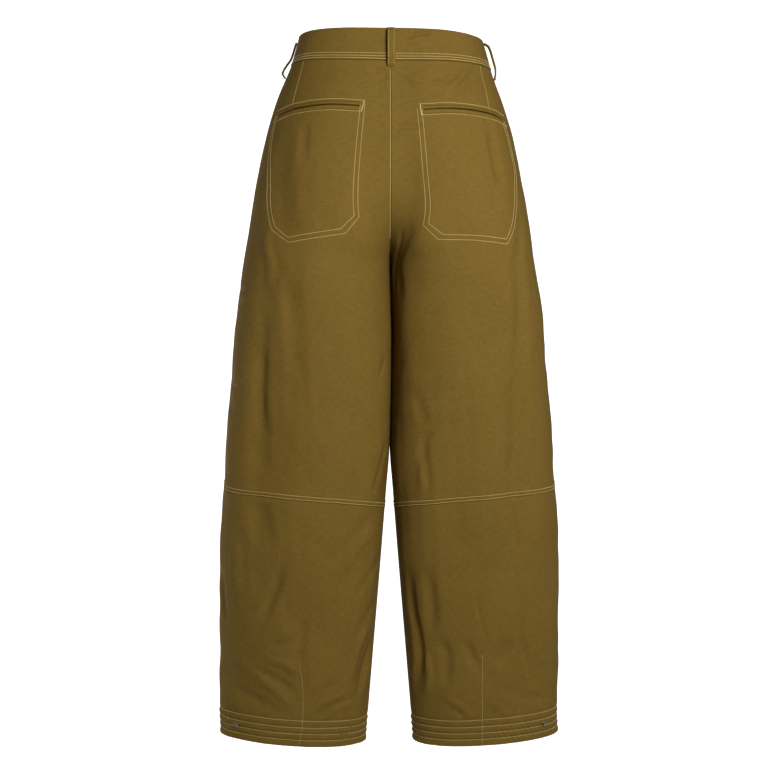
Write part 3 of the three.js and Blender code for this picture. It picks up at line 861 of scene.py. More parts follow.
class NodeSheet:
    """A node tree under construction."""

    def __init__(self, tree: Tree, keep: bool = False) -> None:
        """Keeps the tree, and empties it unless its nodes are to be kept."""
        self.tree = tree
        if not keep:
            tree.nodes.clear()

    def add(self, kind: str, inputs: dict | None = None, **settings) -> bpy.types.Node:
        """Adds a node.

        Args:
            kind: its type name.
            inputs: values or sockets for its inputs, by name or number.
            **settings: its own properties.

        Returns:
            The node.
        """
        node = self.tree.nodes.new(kind)
        for key, value in settings.items():
            setattr(node, key, value)
        for key, value in (inputs or {}).items():
            socket = node.inputs[key]
            if isinstance(value, Socket):
                self.tree.links.new(value, socket)
            else:
                socket.default_value = value
        return node

    def noise(self, place: Socket, scale: object, detail: float) -> Socket:
        """A Noise Texture's value at a place."""
        inputs = {"Vector": place, "Scale": scale, "Detail": detail}
        return self.add("ShaderNodeTexNoise", inputs).outputs["Fac"]

    def maths(self, operation: str, first: object, second: object = 0.0) -> Socket:
        """The result of a Math node, from values or sockets."""
        kind = "ShaderNodeMath"
        return self.add(kind, {0: first, 1: second}, operation=operation).outputs[0]


def group_tree(
    name: str, inputs: dict[str, tuple], outputs: dict[str, str], kind: str = "ShaderNodeTree"
) -> NodeSheet:
    """An empty node group with named sockets.

    Args:
        name: the group's name.
        inputs: socket type and default by name.
        outputs: socket type by name.
        kind: the type of its tree.

    Returns:
        The group's tree, ready for nodes.
    """
    tree = bpy.data.node_groups.new(name, kind)
    for key, (socket_type, value) in inputs.items():
        socket = tree.interface.new_socket(key, in_out="INPUT", socket_type=socket_type)
        if value is not None:
            socket.default_value = value
    for key, socket_type in outputs.items():
        tree.interface.new_socket(key, in_out="OUTPUT", socket_type=socket_type)
    return NodeSheet(tree)


FLOAT, VECTOR, COLOUR = "NodeSocketFloat", "NodeSocketVector", "NodeSocketColor"


def twill_weave_group() -> Tree:
    """The steep diagonal lines of twill with uneven yarns.

    Returns:
        A group from a flat cloth place and a pitch to a height and a tone.
    """
    inputs = {"Place": (VECTOR, None), "Pitch": (FLOAT, 0.0009)}
    sheet = group_tree("twill_weave", inputs, {"Height": FLOAT, "Tone": FLOAT})
    start = sheet.add("NodeGroupInput")
    place, pitch = start.outputs["Place"], start.outputs["Pitch"]
    split = sheet.add("ShaderNodeSeparateXYZ", {0: place})
    lean = sheet.maths("MULTIPLY", split.outputs["Y"], 0.55)
    slant = sheet.maths("ADD", split.outputs["X"], lean)
    turns = sheet.maths("DIVIDE", slant, pitch)
    wave = sheet.maths("SINE", sheet.maths("MULTIPLY", turns, math.tau))
    yarn = sheet.maths("DIVIDE", split.outputs["Y"], pitch)
    cross = sheet.maths("SINE", sheet.maths("MULTIPLY", yarn, math.tau * 1.7))
    both = sheet.maths("ADD", wave, sheet.maths("MULTIPLY", cross, 0.35))
    spun = []
    for scale in ((620.0, 110.0, 1.0), (90.0, 520.0, 1.0)):  # uneven along the warp and the weft
        streak = sheet.add("ShaderNodeMapping", {"Vector": place, "Scale": scale}).outputs[0]
        spun.append(sheet.noise(streak, 1.0, 2.0))
    yarns = sheet.maths("ADD", *spun)
    height = sheet.maths("ADD", sheet.maths("MULTIPLY", both, 0.3), yarns)
    tone = sheet.maths("MULTIPLY", yarns, 0.5)
    sheet.add("NodeGroupOutput", {"Height": height, "Tone": tone})
    return sheet.tree


def mottle_group() -> Tree:
    """Soft uneven patches, as dyed and pressed cloth has.

    Returns:
        A group from a place and a size to a tone.
    """
    inputs = {"Place": (VECTOR, None), "Size": (FLOAT, 0.05), "Stretch": (FLOAT, 2.2)}
    sheet = group_tree("dye_mottle", inputs, {"Tone": FLOAT})
    start = sheet.add("NodeGroupInput")
    split = sheet.add("ShaderNodeSeparateXYZ", {0: start.outputs["Place"]})
    long = sheet.maths("DIVIDE", split.outputs["Z"], start.outputs["Stretch"])
    place = sheet.add(
        "ShaderNodeCombineXYZ", {"X": split.outputs["X"], "Y": split.outputs["Y"], "Z": long}
    ).outputs[0]
    scale = sheet.maths("DIVIDE", 1.0, start.outputs["Size"])
    sheet.add("NodeGroupOutput", {"Tone": sheet.noise(place, scale, 3.0)})
    return sheet.tree


# ---- Finishes -----------------------------------------------------------------------------------


@dataclass(frozen=True)
class Finish:
    """A finish with a darker and a lighter shade."""

    name: str
    dark: tuple
    light: tuple

    def start(self) -> tuple[Material, NodeSheet, Socket]:
        """A new material, its empty node sheet and the places on the object."""
        material = bpy.data.materials.new(self.name)
        material.use_nodes = True
        sheet = NodeSheet(material.node_tree)
        return material, sheet, sheet.add("ShaderNodeTexCoord").outputs["Object"]

    def shade(self, sheet: NodeSheet, by: Socket) -> Socket:
        """A colour between the two shades."""
        inputs = {0: by, 6: self.dark, 7: self.light}
        return sheet.add("ShaderNodeMix", inputs, data_type="RGBA").outputs[2]

    @staticmethod
    def bumps(
        sheet: NodeSheet, strength: float, distance: float, height: object, **more: object
    ) -> Socket:
        """A normal with bumps of some strength and of a height in metres."""
        inputs = {"Strength": strength, "Distance": distance, "Height": height, **more}
        return sheet.add("ShaderNodeBump", inputs).outputs[0]

    @staticmethod
    def surface(sheet: NodeSheet, inputs: dict) -> None:
        """Ends the sheet with a surface."""
        shader = sheet.add("ShaderNodeBsdfPrincipled", inputs)
        sheet.add("ShaderNodeOutputMaterial", {"Surface": shader.outputs[0]})


@dataclass(frozen=True)
class ClothFinish(Finish):
    """A woven cotton: its weave, pucker and dye."""

    pitch: float = 0.0009
    weave_bump: float = 0.22
    pucker_bump: float = 0.3
    mottle: float = 0.7
    grain: float = 3.2
    roughness: float = 0.85
    gloss: float = 0.1

    def material(self, weave: Tree, mottle: Tree) -> Material:
        """Builds the material.

        Args:
            weave: the twill group.
            mottle: the mottle group.

        Returns:
            The material, which reads the cloth's own map and object places.
        """
        material, sheet, body = self.start()
        cloth = sheet.add("ShaderNodeUVMap", uv_map="cloth").outputs[0]
        inputs = {"Place": cloth, "Pitch": self.pitch}
        threads = sheet.add("ShaderNodeGroup", inputs, node_tree=weave).outputs
        dye = sheet.add("ShaderNodeGroup", {"Place": body}, node_tree=mottle).outputs
        inputs = {"Place": body, "Size": 0.012}
        fine = sheet.add("ShaderNodeGroup", inputs, node_tree=mottle).outputs
        tone = sheet.maths("SUBTRACT", threads["Tone"], 0.5)
        tone = sheet.maths("MULTIPLY", tone, self.grain)
        patch = sheet.maths("SUBTRACT", dye["Tone"], 0.5)
        patch = sheet.maths("MULTIPLY", patch, self.mottle)
        shade = self.shade(sheet, sheet.maths("ADD", sheet.maths("ADD", tone, patch), 0.5))
        pucker = self.bumps(sheet, self.pucker_bump, 0.0012, fine["Tone"])
        normal = self.bumps(sheet, self.weave_bump, 0.00012, threads["Height"], Normal=pucker)
        inputs = {"Base Color": shade, "Roughness": self.roughness, "Normal": normal}
        self.surface(sheet, {**inputs, "Specular IOR Level": self.gloss})
        return material


@dataclass(frozen=True)
class ThreadFinish(Finish):
    """Glossy spun thread, uneven from stitch to stitch."""

    plies: float = 2600.0

    def material(self, mottle: Tree) -> Material:
        """Builds the material from the mottle group."""
        material, sheet, body = self.start()
        wear = sheet.add("ShaderNodeGroup", {"Place": body, "Size": 0.009}, node_tree=mottle)
        shade = self.shade(sheet, wear.outputs["Tone"])
        normal = self.bumps(sheet, 0.3, 0.0001, sheet.noise(body, self.plies, 1.0))
        inputs = {"Base Color": shade, "Roughness": 0.5, "Normal": normal, "Sheen Weight": 0.2}
        self.surface(sheet, inputs)
        return material


@dataclass(frozen=True)
class HardFinish(Finish):
    """A metal or a polished button, with fine wear in its colour and gloss."""

    metallic: float
    roughness: float
    grain: float = 900.0

    def material(self) -> Material:
        """Builds the material, which reads object places."""
        material, sheet, body = self.start()
        grain = sheet.noise(body, self.grain, 5.0)
        shade = self.shade(sheet, grain)
        gloss = sheet.maths("ADD", sheet.maths("MULTIPLY", grain, 0.2), self.roughness - 0.1)
        inputs = {"Base Color": shade, "Roughness": gloss, "Metallic": self.metallic}
        self.surface(sheet, inputs)
        return material


TWILL = ClothFinish("khaki_twill", srgb(117, 92, 37), srgb(130, 105, 47))
POCKETING = ClothFinish("pocketing", srgb(104, 83, 34), srgb(118, 96, 42), 0.0006, 0.15, 0.2)
DARK_NICKEL = HardFinish("dark_nickel", srgb(104, 104, 108), srgb(168, 166, 162), 1.0, 0.26)
COROZO = HardFinish("brown_button", srgb(62, 44, 22), srgb(96, 70, 38), 0.0, 0.35, 220.0)
THREAD = ThreadFinish("topstitch_thread", srgb(222, 196, 116), srgb(244, 224, 158))


class Wardrobe:
    """The materials of the part, built once."""

    def __init__(self) -> None:
        """Builds the shared groups and every material."""
        weave, mottle = twill_weave_group(), mottle_group()
        self.twill = TWILL.material(weave, mottle)
        self.pocketing = POCKETING.material(weave, mottle)
        self.thread = THREAD.material(mottle)
        self.nickel = DARK_NICKEL.material()
        self.button = COROZO.material()


# ---- Sewing -------------------------------------------------------------------------------------


def topstitch_tree() -> Tree:
    """Geometry nodes that sew stitches along the edges of a mesh.

    Each edge line is walked at the stitch pitch, and a short rounded stitch is laid along it,
    turned to the way the cloth faces there and a little unevenly.

    Returns:
        The tree, whose inputs are sizes in metres, a quarter-turn switch, a seed and a material.
    """
    geometry = "NodeSocketGeometry"
    sockets = {
        "Geometry": (geometry, None),
        "Pitch": (FLOAT, 0.003),
        "Length": (FLOAT, 0.0026),
        "Width": (FLOAT, 0.0006),
        "Height": (FLOAT, 0.0006),
        "Across": (FLOAT, 0.0),
        "Uneven": (FLOAT, 0.07),
        "Seed": ("NodeSocketInt", 1),
        "Thread": ("NodeSocketMaterial", None),
    }
    sheet = group_tree("topstitch", sockets, {"Geometry": geometry}, "GeometryNodeTree")
    add, maths = sheet.add, sheet.maths
    start = add("NodeGroupInput").outputs
    curve = add("GeometryNodeMeshToCurve", {0: start["Geometry"]}).outputs[0]
    inputs = {"Curve": curve, "Length": start["Pitch"]}
    places = add("GeometryNodeResampleCurve", inputs, mode="LENGTH").outputs[0]
    inputs = {"Name": "facing"}
    facing = add("GeometryNodeInputNamedAttribute", inputs, data_type="FLOAT_VECTOR")
    tangent = add("GeometryNodeInputTangent").outputs[0]
    inputs = {"Primary Axis": facing.outputs["Attribute"], "Secondary Axis": tangent}
    turned = add("FunctionNodeAxesToRotation", inputs, primary_axis="Z", secondary_axis="X")
    least = maths("MULTIPLY", start["Uneven"], -1.0)
    inputs = {"Min": least, "Max": start["Uneven"], "Seed": start["Seed"]}
    swing = add("FunctionNodeRandomValue", inputs, data_type="FLOAT")
    turn = add("ShaderNodeCombineXYZ", {"Z": swing.outputs["Value"]}).outputs[0]
    lean = add("FunctionNodeEulerToRotation", {0: turn}).outputs[0]
    inputs = {0: turned.outputs[0], 1: lean}
    angle = add("FunctionNodeRotateRotation", inputs, rotation_space="LOCAL").outputs[0]
    inputs = {"Segments": 6, "Rings": 5, "Radius": 0.5}
    bead = add("GeometryNodeMeshUVSphere", inputs).outputs["Mesh"]
    inputs = {axis: start[key] for axis, key in zip("XYZ", ("Length", "Width", "Height"))}
    size = add("ShaderNodeCombineXYZ", inputs).outputs[0]
    quarter = maths("MULTIPLY", start["Across"], math.pi / 2)
    about = add("ShaderNodeCombineXYZ", {"Z": quarter}).outputs[0]
    inputs = {"Geometry": bead, "Scale": size, "Rotation": about}
    stitch = add("GeometryNodeTransform", inputs).outputs[0]
    inputs = {"Points": places, "Instance": stitch, "Rotation": angle}
    sewn = add("GeometryNodeInstanceOnPoints", inputs).outputs[0]
    real = add("GeometryNodeRealizeInstances", {0: sewn}).outputs[0]
    smooth = add("GeometryNodeSetShadeSmooth", {0: real}).outputs[0]
    inputs = {"Geometry": smooth, "Material": start["Thread"]}
    dressed = add("GeometryNodeSetMaterial", inputs).outputs[0]
    add("NodeGroupOutput", {"Geometry": dressed})
    return sheet.tree


def plain_copy(obj: Object, name: str) -> Object:
    """Replaces an object that has live modifiers by one with the finished mesh.

    Args:
        obj: the object, which is removed.
        name: the new object's name.

    Returns:
        The finished object.
    """
    graph = bpy.context.evaluated_depsgraph_get()
    graph.update()
    mesh = bpy.data.meshes.new_from_object(obj.evaluated_get(graph))
    bpy.data.objects.remove(obj)
    mesh.name = name
    return link_object(name, mesh)


@dataclass
class Row:
    """One row of stitches: its points in millimetres and the way the cloth faces at each."""

    points: Array
    facing: Array


@dataclass
class Sewing:
    """The stitches of one seam or detail, all in one piece."""

    name: str
    rows: list[Row] = field(default_factory=list)
    pitch: float = 3.0
    length: float = 2.6
    width: float = 0.8
    height: float = 0.6
    across: bool = False
    seed: int = 1

    def build(self, tree: Tree, thread: Material) -> Object:
        """Sews the rows.

        Args:
            tree: the topstitch nodes.
            thread: the thread's material.

        Returns:
            The finished stitches.
        """
        mesh = bpy.data.meshes.new(self.name)
        points = np.concatenate([row.points for row in self.rows]) * MM
        facing = np.concatenate([row.facing for row in self.rows])
        edges, first = [], 0
        for row in self.rows:
            count = len(row.points)
            edges += [(first + i, first + i + 1) for i in range(count - 1)]
            first += count
        mesh.from_pydata(points.tolist(), edges, [])
        attribute = mesh.attributes.new("facing", "FLOAT_VECTOR", "POINT")
        attribute.data.foreach_set("vector", facing.astype(np.float32).ravel())
        obj = link_object(self.name + "_line", mesh)
        modifier = obj.modifiers.new("topstitch", "NODES")
        modifier.node_group = tree
        sizes = ("pitch", "length", "width", "height")
        values = {key.title(): getattr(self, key) * MM for key in sizes}
        values |= {"Across": float(self.across), "Seed": self.seed, "Thread": thread}
        for item in tree.interface.items_tree:
            if item.in_out == "INPUT" and item.name in values:
                modifier[item.identifier] = values[item.name]
        return plain_copy(obj, self.name)


# ---- The cloth pieces ---------------------------------------------------------------------------


@dataclass
class PocketPlan:
    """The double-welt back pocket: its slot, the window in the panel, and its stitched outline."""

    slot: tuple = ((0.26, 121.0), (0.45, 114.0), (0.622, 112.0), (0.817, 114.0))
    window: tuple = (0.264, 0.814)
    above: float = 4.8
    below: float = 6.6
    row_above: float = 7.8
    row_below: float = 8.1
    row_apart: float = 6.6
    turned: float = 0.4

    DROP = {LEFT: -2.0, RIGHT: 3.0}
    TACK_LEAN = {LEFT: 0.013, RIGHT: 0.004}
    OUTLINE = {
        LEFT: (
            (0.847, 111), (0.838, 160), (0.83, 215), (0.825, 267), (0.729, 290), (0.597, 295.5),
            (0.447, 302), (0.372, 283), (0.328, 245), (0.29, 205), (0.25, 172), (0.226, 148),
            (0.224, 120),
        ),
        RIGHT: (
            (0.851, 117), (0.845, 160), (0.837, 211), (0.815, 278), (0.71, 298), (0.543, 299),
            (0.378, 303), (0.346, 281), (0.295, 238), (0.238, 192), (0.24, 150), (0.262, 128),
        ),
    }

    def slot_at(self, side: int, u: Array) -> Array:
        """The height of the slot's middle at u."""
        return Curve.through(self.slot)(u) + self.DROP[side]

    def away(self, side: int, u: Array, down: Array, across: Array) -> Array:
        """How far a place is from the window in the panel.

        Args:
            side: LEFT or RIGHT.
            u: shares of the way round.
            down: distances below the waist.
            across: millimetres for one u.

        Returns:
            Distances in millimetres, 0 inside.
        """
        slot = self.slot_at(side, u)
        low, high = self.window
        beside = np.maximum(np.maximum(low - u, u - high), 0) * across
        over = np.maximum(np.maximum(slot - self.above - down, down - slot - self.below), 0)
        return np.hypot(beside, over)


@dataclass
class Layers:
    """Where the cloth lies double, at seams, hems and pocket edges, and so stands higher."""

    surface: ClothSurface
    edges: Edges = field(default_factory=Edges)
    pocket: PocketPlan = field(default_factory=PocketPlan)
    hem_lift: float = 0.55
    hem_rows: tuple = (36.6, 26.8, 17.8, 9.0)
    knee_lift: float = 0.75
    knee_rows: tuple = (1.7, 6.6)
    knee_fell: float = 9.0
    pucker: float = 0.62
    pucker_every: float = 8.0
    hem_groove: tuple = (1.5, 2.4)
    knee_groove: tuple = (0.7, 1.3)

    def lift(self, side: int, u: Array, down: Array) -> Array:
        """How much higher the cloth's face is than one layer's.

        Args:
            side: LEFT or RIGHT.
            u: shares of the way round.
            down: distances below the waist.

        Returns:
            Heights in millimetres.
        """
        edges, across = self.edges, self.surface.length(u, down)
        into_hem = down - (edges.foot(u) - edges.hem_depth)
        hem = self.hem_lift * smoothstep(into_hem, -1.2, 0.6)
        wave = np.sin((u * across + 0.7 * into_hem) * math.tau / self.pucker_every + side)
        slow = np.sin(u * 9.0 + side * 1.7) * 0.5 + 0.7
        hem = hem + self.pucker * wave * slow * smoothstep(into_hem, 0.0, 6.0)
        hem = hem + self.sunk(edges.foot(u) - down, self.hem_rows, *self.hem_groove)
        above_knee = edges.knee(u) - down
        past_fell = smoothstep(above_knee, self.knee_fell, self.knee_fell + 2.5)
        fell = (above_knee > 0) * (1 - past_fell)
        fell = self.knee_lift * fell + self.sunk(above_knee, self.knee_rows, *self.knee_groove)
        knee = np.where(u > edges.side_seam, fell, 0.0)
        window = self.pocket.away(side, u, down, across)
        turned = self.pocket.turned * (1 - smoothstep(window, 2.5, 6.0)) * (u > 0)
        return hem + knee + turned

    @staticmethod
    def sunk(above: Array, rows: tuple, deep: float, wide: float) -> Array:
        """How far tight rows above an edge pull the cloth in, at distances above it."""
        return sum(-deep * np.exp(-(((above - row) / wide) ** 2)) for row in rows)

    def place(
        self, side: int, u: Array, down: Array, out: Array = 0.0
    ) -> tuple[Array, Array]:
        """Points on or outside the top layer in millimetres, and the way it faces."""
        u, down = np.broadcast_arrays(np.asarray(u, float), np.asarray(down, float))
        return self.surface.place(side, u, down, self.lift(side, u, down) + out)

    def across_middle(
        self, side: int, u: Array, down: Array, out: Array = 0.0
    ) -> tuple[Array, Array]:
        """The same for places that may lie past the centre line, on the other half."""
        u = np.asarray(u, float)
        over = np.abs(u) > 1
        folded = np.where(over, np.sign(u) * 2 - u, u)
        here, faces = self.place(side, folded, down, out)
        there, other = self.place(-side, folded, down, out)
        pick = over[..., None]
        return np.where(pick, there, here), np.where(pick, other, faces)

    def row(self, side: int, path: Array, sharp: bool = False, out: float = 0.08) -> Row:
        """A row of stitches through some places.

        Args:
            side: LEFT or RIGHT.
            path: (n, 2) places, u and down.
            sharp: whether the row turns at its places or curves through them.
            out: how far the thread's middle lies outside the cloth.

        Returns:
            The row, a point every millimetre.
        """
        path = np.array(path, float)
        flat = np.stack([path[:, 0] * self.surface.length(path[:, 0], path[:, 1]), path[:, 1]], -1)
        steps = np.linalg.norm(np.diff(flat, axis=0), axis=1)
        count = max(4, round(float(steps.sum())))
        if sharp:
            lengths = np.concatenate([[0], np.cumsum(steps)])
            at = np.linspace(0, lengths[-1], count + 1)
            line = np.stack([np.interp(at, lengths, path[:, k]) for k in (0, 1)], -1)
            kernel = np.ones(3) / 3
            for k in (0, 1):
                line[1:-1, k] = np.convolve(line[:, k], kernel, "valid")
        else:
            line = smooth_path(path, count)
        return Row(*self.place(side, line[:, 0], line[:, 1], out))

    def inset(self, path: tuple, by: float) -> list[tuple[float, float]]:
        """A row beside another, at the same distance all along, with its corners mitred.

        Args:
            path: (u, down) places of the first row.
            by: distance, positive to the right of the way it runs as seen from outside.

        Returns:
            (u, down) places of the second row.
        """
        path = np.array(path, float)
        across = self.surface.length(path[:, 0], path[:, 1])
        flat = np.stack([path[:, 0] * across, path[:, 1]], -1)
        way = np.diff(flat, axis=0)
        way = way / np.linalg.norm(way, axis=1, keepdims=True)
        beside = np.stack([-way[:, 1], way[:, 0]], -1)
        before = np.vstack([beside[:1], beside])
        after = np.vstack([beside, beside[-1:]])
        mitre = before + after
        mitre = mitre / (1 + (before * after).sum(1, keepdims=True))
        moved = flat + mitre * by
        return [(a / c, b) for (a, b), c in zip(moved, across)]


def rolled(distance: Array, radius: float) -> Array:
    """How far a soft edge drops at a distance from it."""
    near = np.clip(radius - distance, 0, radius)
    return -(radius - np.sqrt(radius * radius - near * near))


@dataclass
class ClothPiece:
    """A cut piece of cloth on the form, as a closed shell with rolled edges."""

    name: str
    side: int
    us: Array
    downs: Array
    wall: float = WALL
    out: float = 0.0
    radius: float = 0.7
    soft_centre: float = 0.28
    keep: Array | None = None
    cut_away: Callable | None = None

    def build(self, layers: Layers, material: Material) -> Object:
        """Makes the shell.

        Args:
            layers: the cloth's surface with its double layers.
            material: the cloth's material.

        Returns:
            The piece.
        """
        u, down = np.broadcast_arrays(self.us[None, :], self.downs)
        across = layers.surface.length(u, down)
        centre = self.soft_centre * (np.abs(u[:, [0, -1]]) == 1)
        sides = np.minimum(
            (u - u[:, :1]) * across + centre[:, :1], (u[:, -1:] - u) * across + centre[:, 1:]
        )
        ends = np.minimum(down - down[:1], down[-1:] - down)
        drop = rolled(np.minimum(sides, ends), self.radius)
        if self.cut_away is not None:
            drop = np.minimum(drop, rolled(self.cut_away(u, down, across), self.radius))
        lift = layers.lift(self.side, u, down)
        outer, _ = layers.surface.place(self.side, u, down, lift + self.out + drop)
        inner, _ = layers.surface.place(self.side, u, down, self.out - self.wall)
        flat = np.stack([u * across, -down], -1)
        return make_shell(self.name, [outer, inner], flat, material, self.keep)


@dataclass
class Leg:
    """One leg: its back upper and lower panels, front panel, hem turn-up and their sewing."""

    side: int
    layers: Layers
    spacing: float = 2.5
    front_spacing: float = 3.6
    tight: tuple = (0.5, 1.3, 2.6)
    crotch_zone: tuple = (282.0, 334.0)
    facing_wall: float = 1.2

    WAIST_DART = {LEFT: ((0.367, 44.5), (0.388, 104.5)), RIGHT: ((0.345, 49), (0.393, 109))}
    HEM_DART = {
        LEFT: ((0.522, 890), (0.548, 935), (0.552, 969), (0.537, 1008)),
        RIGHT: ((0.517, 883), (0.525, 940), (0.535, 1008)),
    }
    BY_SEAM, BY_INSEAM = 0.0005, 0.999  # u of the panels' and the turn-up's edges
    UPPER_ACROSS, LOWER_ACROSS, FACING_ACROSS = 275, 300, 290  # millimetres for one u

    def columns(self, stops: tuple, across: float, spacing: float) -> Array:
        """Places across a panel, closer together beside each stop.

        Args:
            stops: u of the panel's edges and of anything cut in it.
            across: millimetres for one u.
            spacing: usual distance in millimetres.

        Returns:
            The places' u.
        """
        tight = tuple(t / across for t in self.tight)
        pairs = zip(stops[:-1], stops[1:])
        spans = [lines_between(*pair, spacing / across, tight)[:, 0] for pair in pairs]
        return np.concatenate([spans[0]] + [span[1:] for span in spans[1:]])

    def heights(self, stops: list[Array], spacings: list[float]) -> Array:
        """Heights down a panel, closer together beside each stop.

        Args:
            stops: the heights of edges and of anything cut in it, for each column.
            spacings: the usual distance between each pair of them.

        Returns:
            (rows, columns) heights.
        """
        pairs = zip(stops[:-1], stops[1:], spacings)
        spans = [lines_between(*pair, self.tight) for pair in pairs]
        return np.concatenate([spans[0]] + [span[1:] for span in spans[1:]])

    def hem_stops(self, us: Array) -> tuple[list[Array], list[float]]:
        """The hem's upper edge, rows of stitches and foot, and the spacings between them."""
        edges = self.layers.edges
        offs = (edges.hem_depth, *self.layers.hem_rows[1:], 0.0)
        return [edges.foot(us) - off for off in offs], [2.4] * (len(offs) - 1)

    def back_upper(self, wardrobe: Wardrobe) -> Object:
        """The back panel from the waistband to the knee, with the window for its pocket."""
        edges, pocket, side = self.layers.edges, self.layers.pocket, self.side
        low, high = pocket.window
        stops = (edges.side_seam + self.BY_SEAM, low, high, 1.0)
        us = self.columns(stops, self.UPPER_ACROSS, self.spacing)
        slot = pocket.slot_at(side, us)
        stops = [
            edges.band(side, us) + SEAM,
            slot - pocket.above,
            slot + pocket.below,
            *(np.full_like(us, down) for down in self.crotch_zone),
            edges.knee(us) - self.layers.knee_rows[1],
            edges.knee(us) - SEAM / 2,
        ]
        spacing = self.spacing
        downs = self.heights(stops, [spacing, spacing, spacing, 2.0, spacing * 1.1, 1.6])
        middle_u = (us[:-1] + us[1:]) / 2
        middle_down = (downs[:-1, :-1] + downs[1:, 1:]) / 2
        inside = (middle_u > low) & (middle_u < high)
        centre = (slot[:-1] + slot[1:]) / 2
        within = (middle_down > centre - pocket.above) & (middle_down < centre + pocket.below)
        piece = ClothPiece(f"back_upper_{SIDE_LABEL[side]}_cloth", side, us, downs)
        piece.keep = ~(within & inside)
        piece.cut_away = lambda u, down, across: pocket.away(side, u, down, across)
        return piece.build(self.layers, wardrobe.twill)

    def back_lower(self, wardrobe: Wardrobe) -> Object:
        """The back panel from the knee to the hem."""
        edges = self.layers.edges
        stops = (edges.side_seam + self.BY_SEAM, 1.0)
        us = self.columns(stops, self.LOWER_ACROSS, self.spacing)
        hem, wide = self.hem_stops(us)
        downs = self.heights([edges.knee(us) + SEAM / 2] + hem, [self.spacing] + wide)
        name = f"back_lower_{SIDE_LABEL[self.side]}_cloth"
        return ClothPiece(name, self.side, us, downs).build(self.layers, wardrobe.twill)

    def front(self, wardrobe: Wardrobe) -> Object:
        """The front panel from the waistband to the hem."""
        edges, side = self.layers.edges, self.side
        stops = (-1.0, edges.side_seam - self.BY_SEAM)
        us = self.columns(stops, self.LOWER_ACROSS, self.front_spacing)
        hem, wide = self.hem_stops(us)
        stops = [edges.band(side, us) + SEAM]
        stops += [np.full_like(us, down) for down in self.crotch_zone]
        spacing = self.front_spacing
        downs = self.heights(stops + hem, [spacing, 2.4, spacing] + wide)
        name = f"front_{SIDE_LABEL[side]}_cloth"
        return ClothPiece(name, side, us, downs).build(self.layers, wardrobe.twill)

    def hem_facing(self, wardrobe: Wardrobe) -> Object:
        """The hem's turned-up layer inside the leg."""
        edges = self.layers.edges
        us = self.columns((-self.BY_INSEAM, self.BY_INSEAM), self.FACING_ACROSS, 4.5)
        foot = edges.foot(us)
        downs = self.heights([foot - edges.hem_depth, foot], [5.0])
        name = f"hem_facing_{SIDE_LABEL[self.side]}_cloth"
        out = -WALL - SEAM - self.layers.hem_lift
        piece = ClothPiece(name, self.side, us, downs, self.facing_wall, out, 0.5)
        return piece.build(self.layers, wardrobe.twill)

    def sewing(self) -> list[Sewing]:
        """The stitch rows of the knee, the hem and the darts."""
        layers, edges, side = self.layers, self.layers.edges, self.side
        label = SIDE_LABEL[side]
        us = np.linspace(edges.side_seam + 0.004, 0.996, 24)
        lines = [np.stack([us, edges.knee(us) - off], -1) for off in layers.knee_rows]
        knee = [layers.row(side, line) for line in lines]
        around = np.linspace(-0.994, 0.994, 60)
        lines = [np.stack([around, edges.foot(around) - off], -1) for off in layers.hem_rows]
        hem = [layers.row(side, line, out=0.38) for line in lines]
        darts = [layers.row(side, dart[side]) for dart in (self.WAIST_DART, self.HEM_DART)]
        return [
            Sewing(f"knee_stitches_{label}", knee, seed=3 + side),
            Sewing(f"hem_stitches_{label}", hem, seed=5 + side),
            Sewing(f"dart_stitches_{label}", darts, seed=7 + side, width=0.5),
        ]


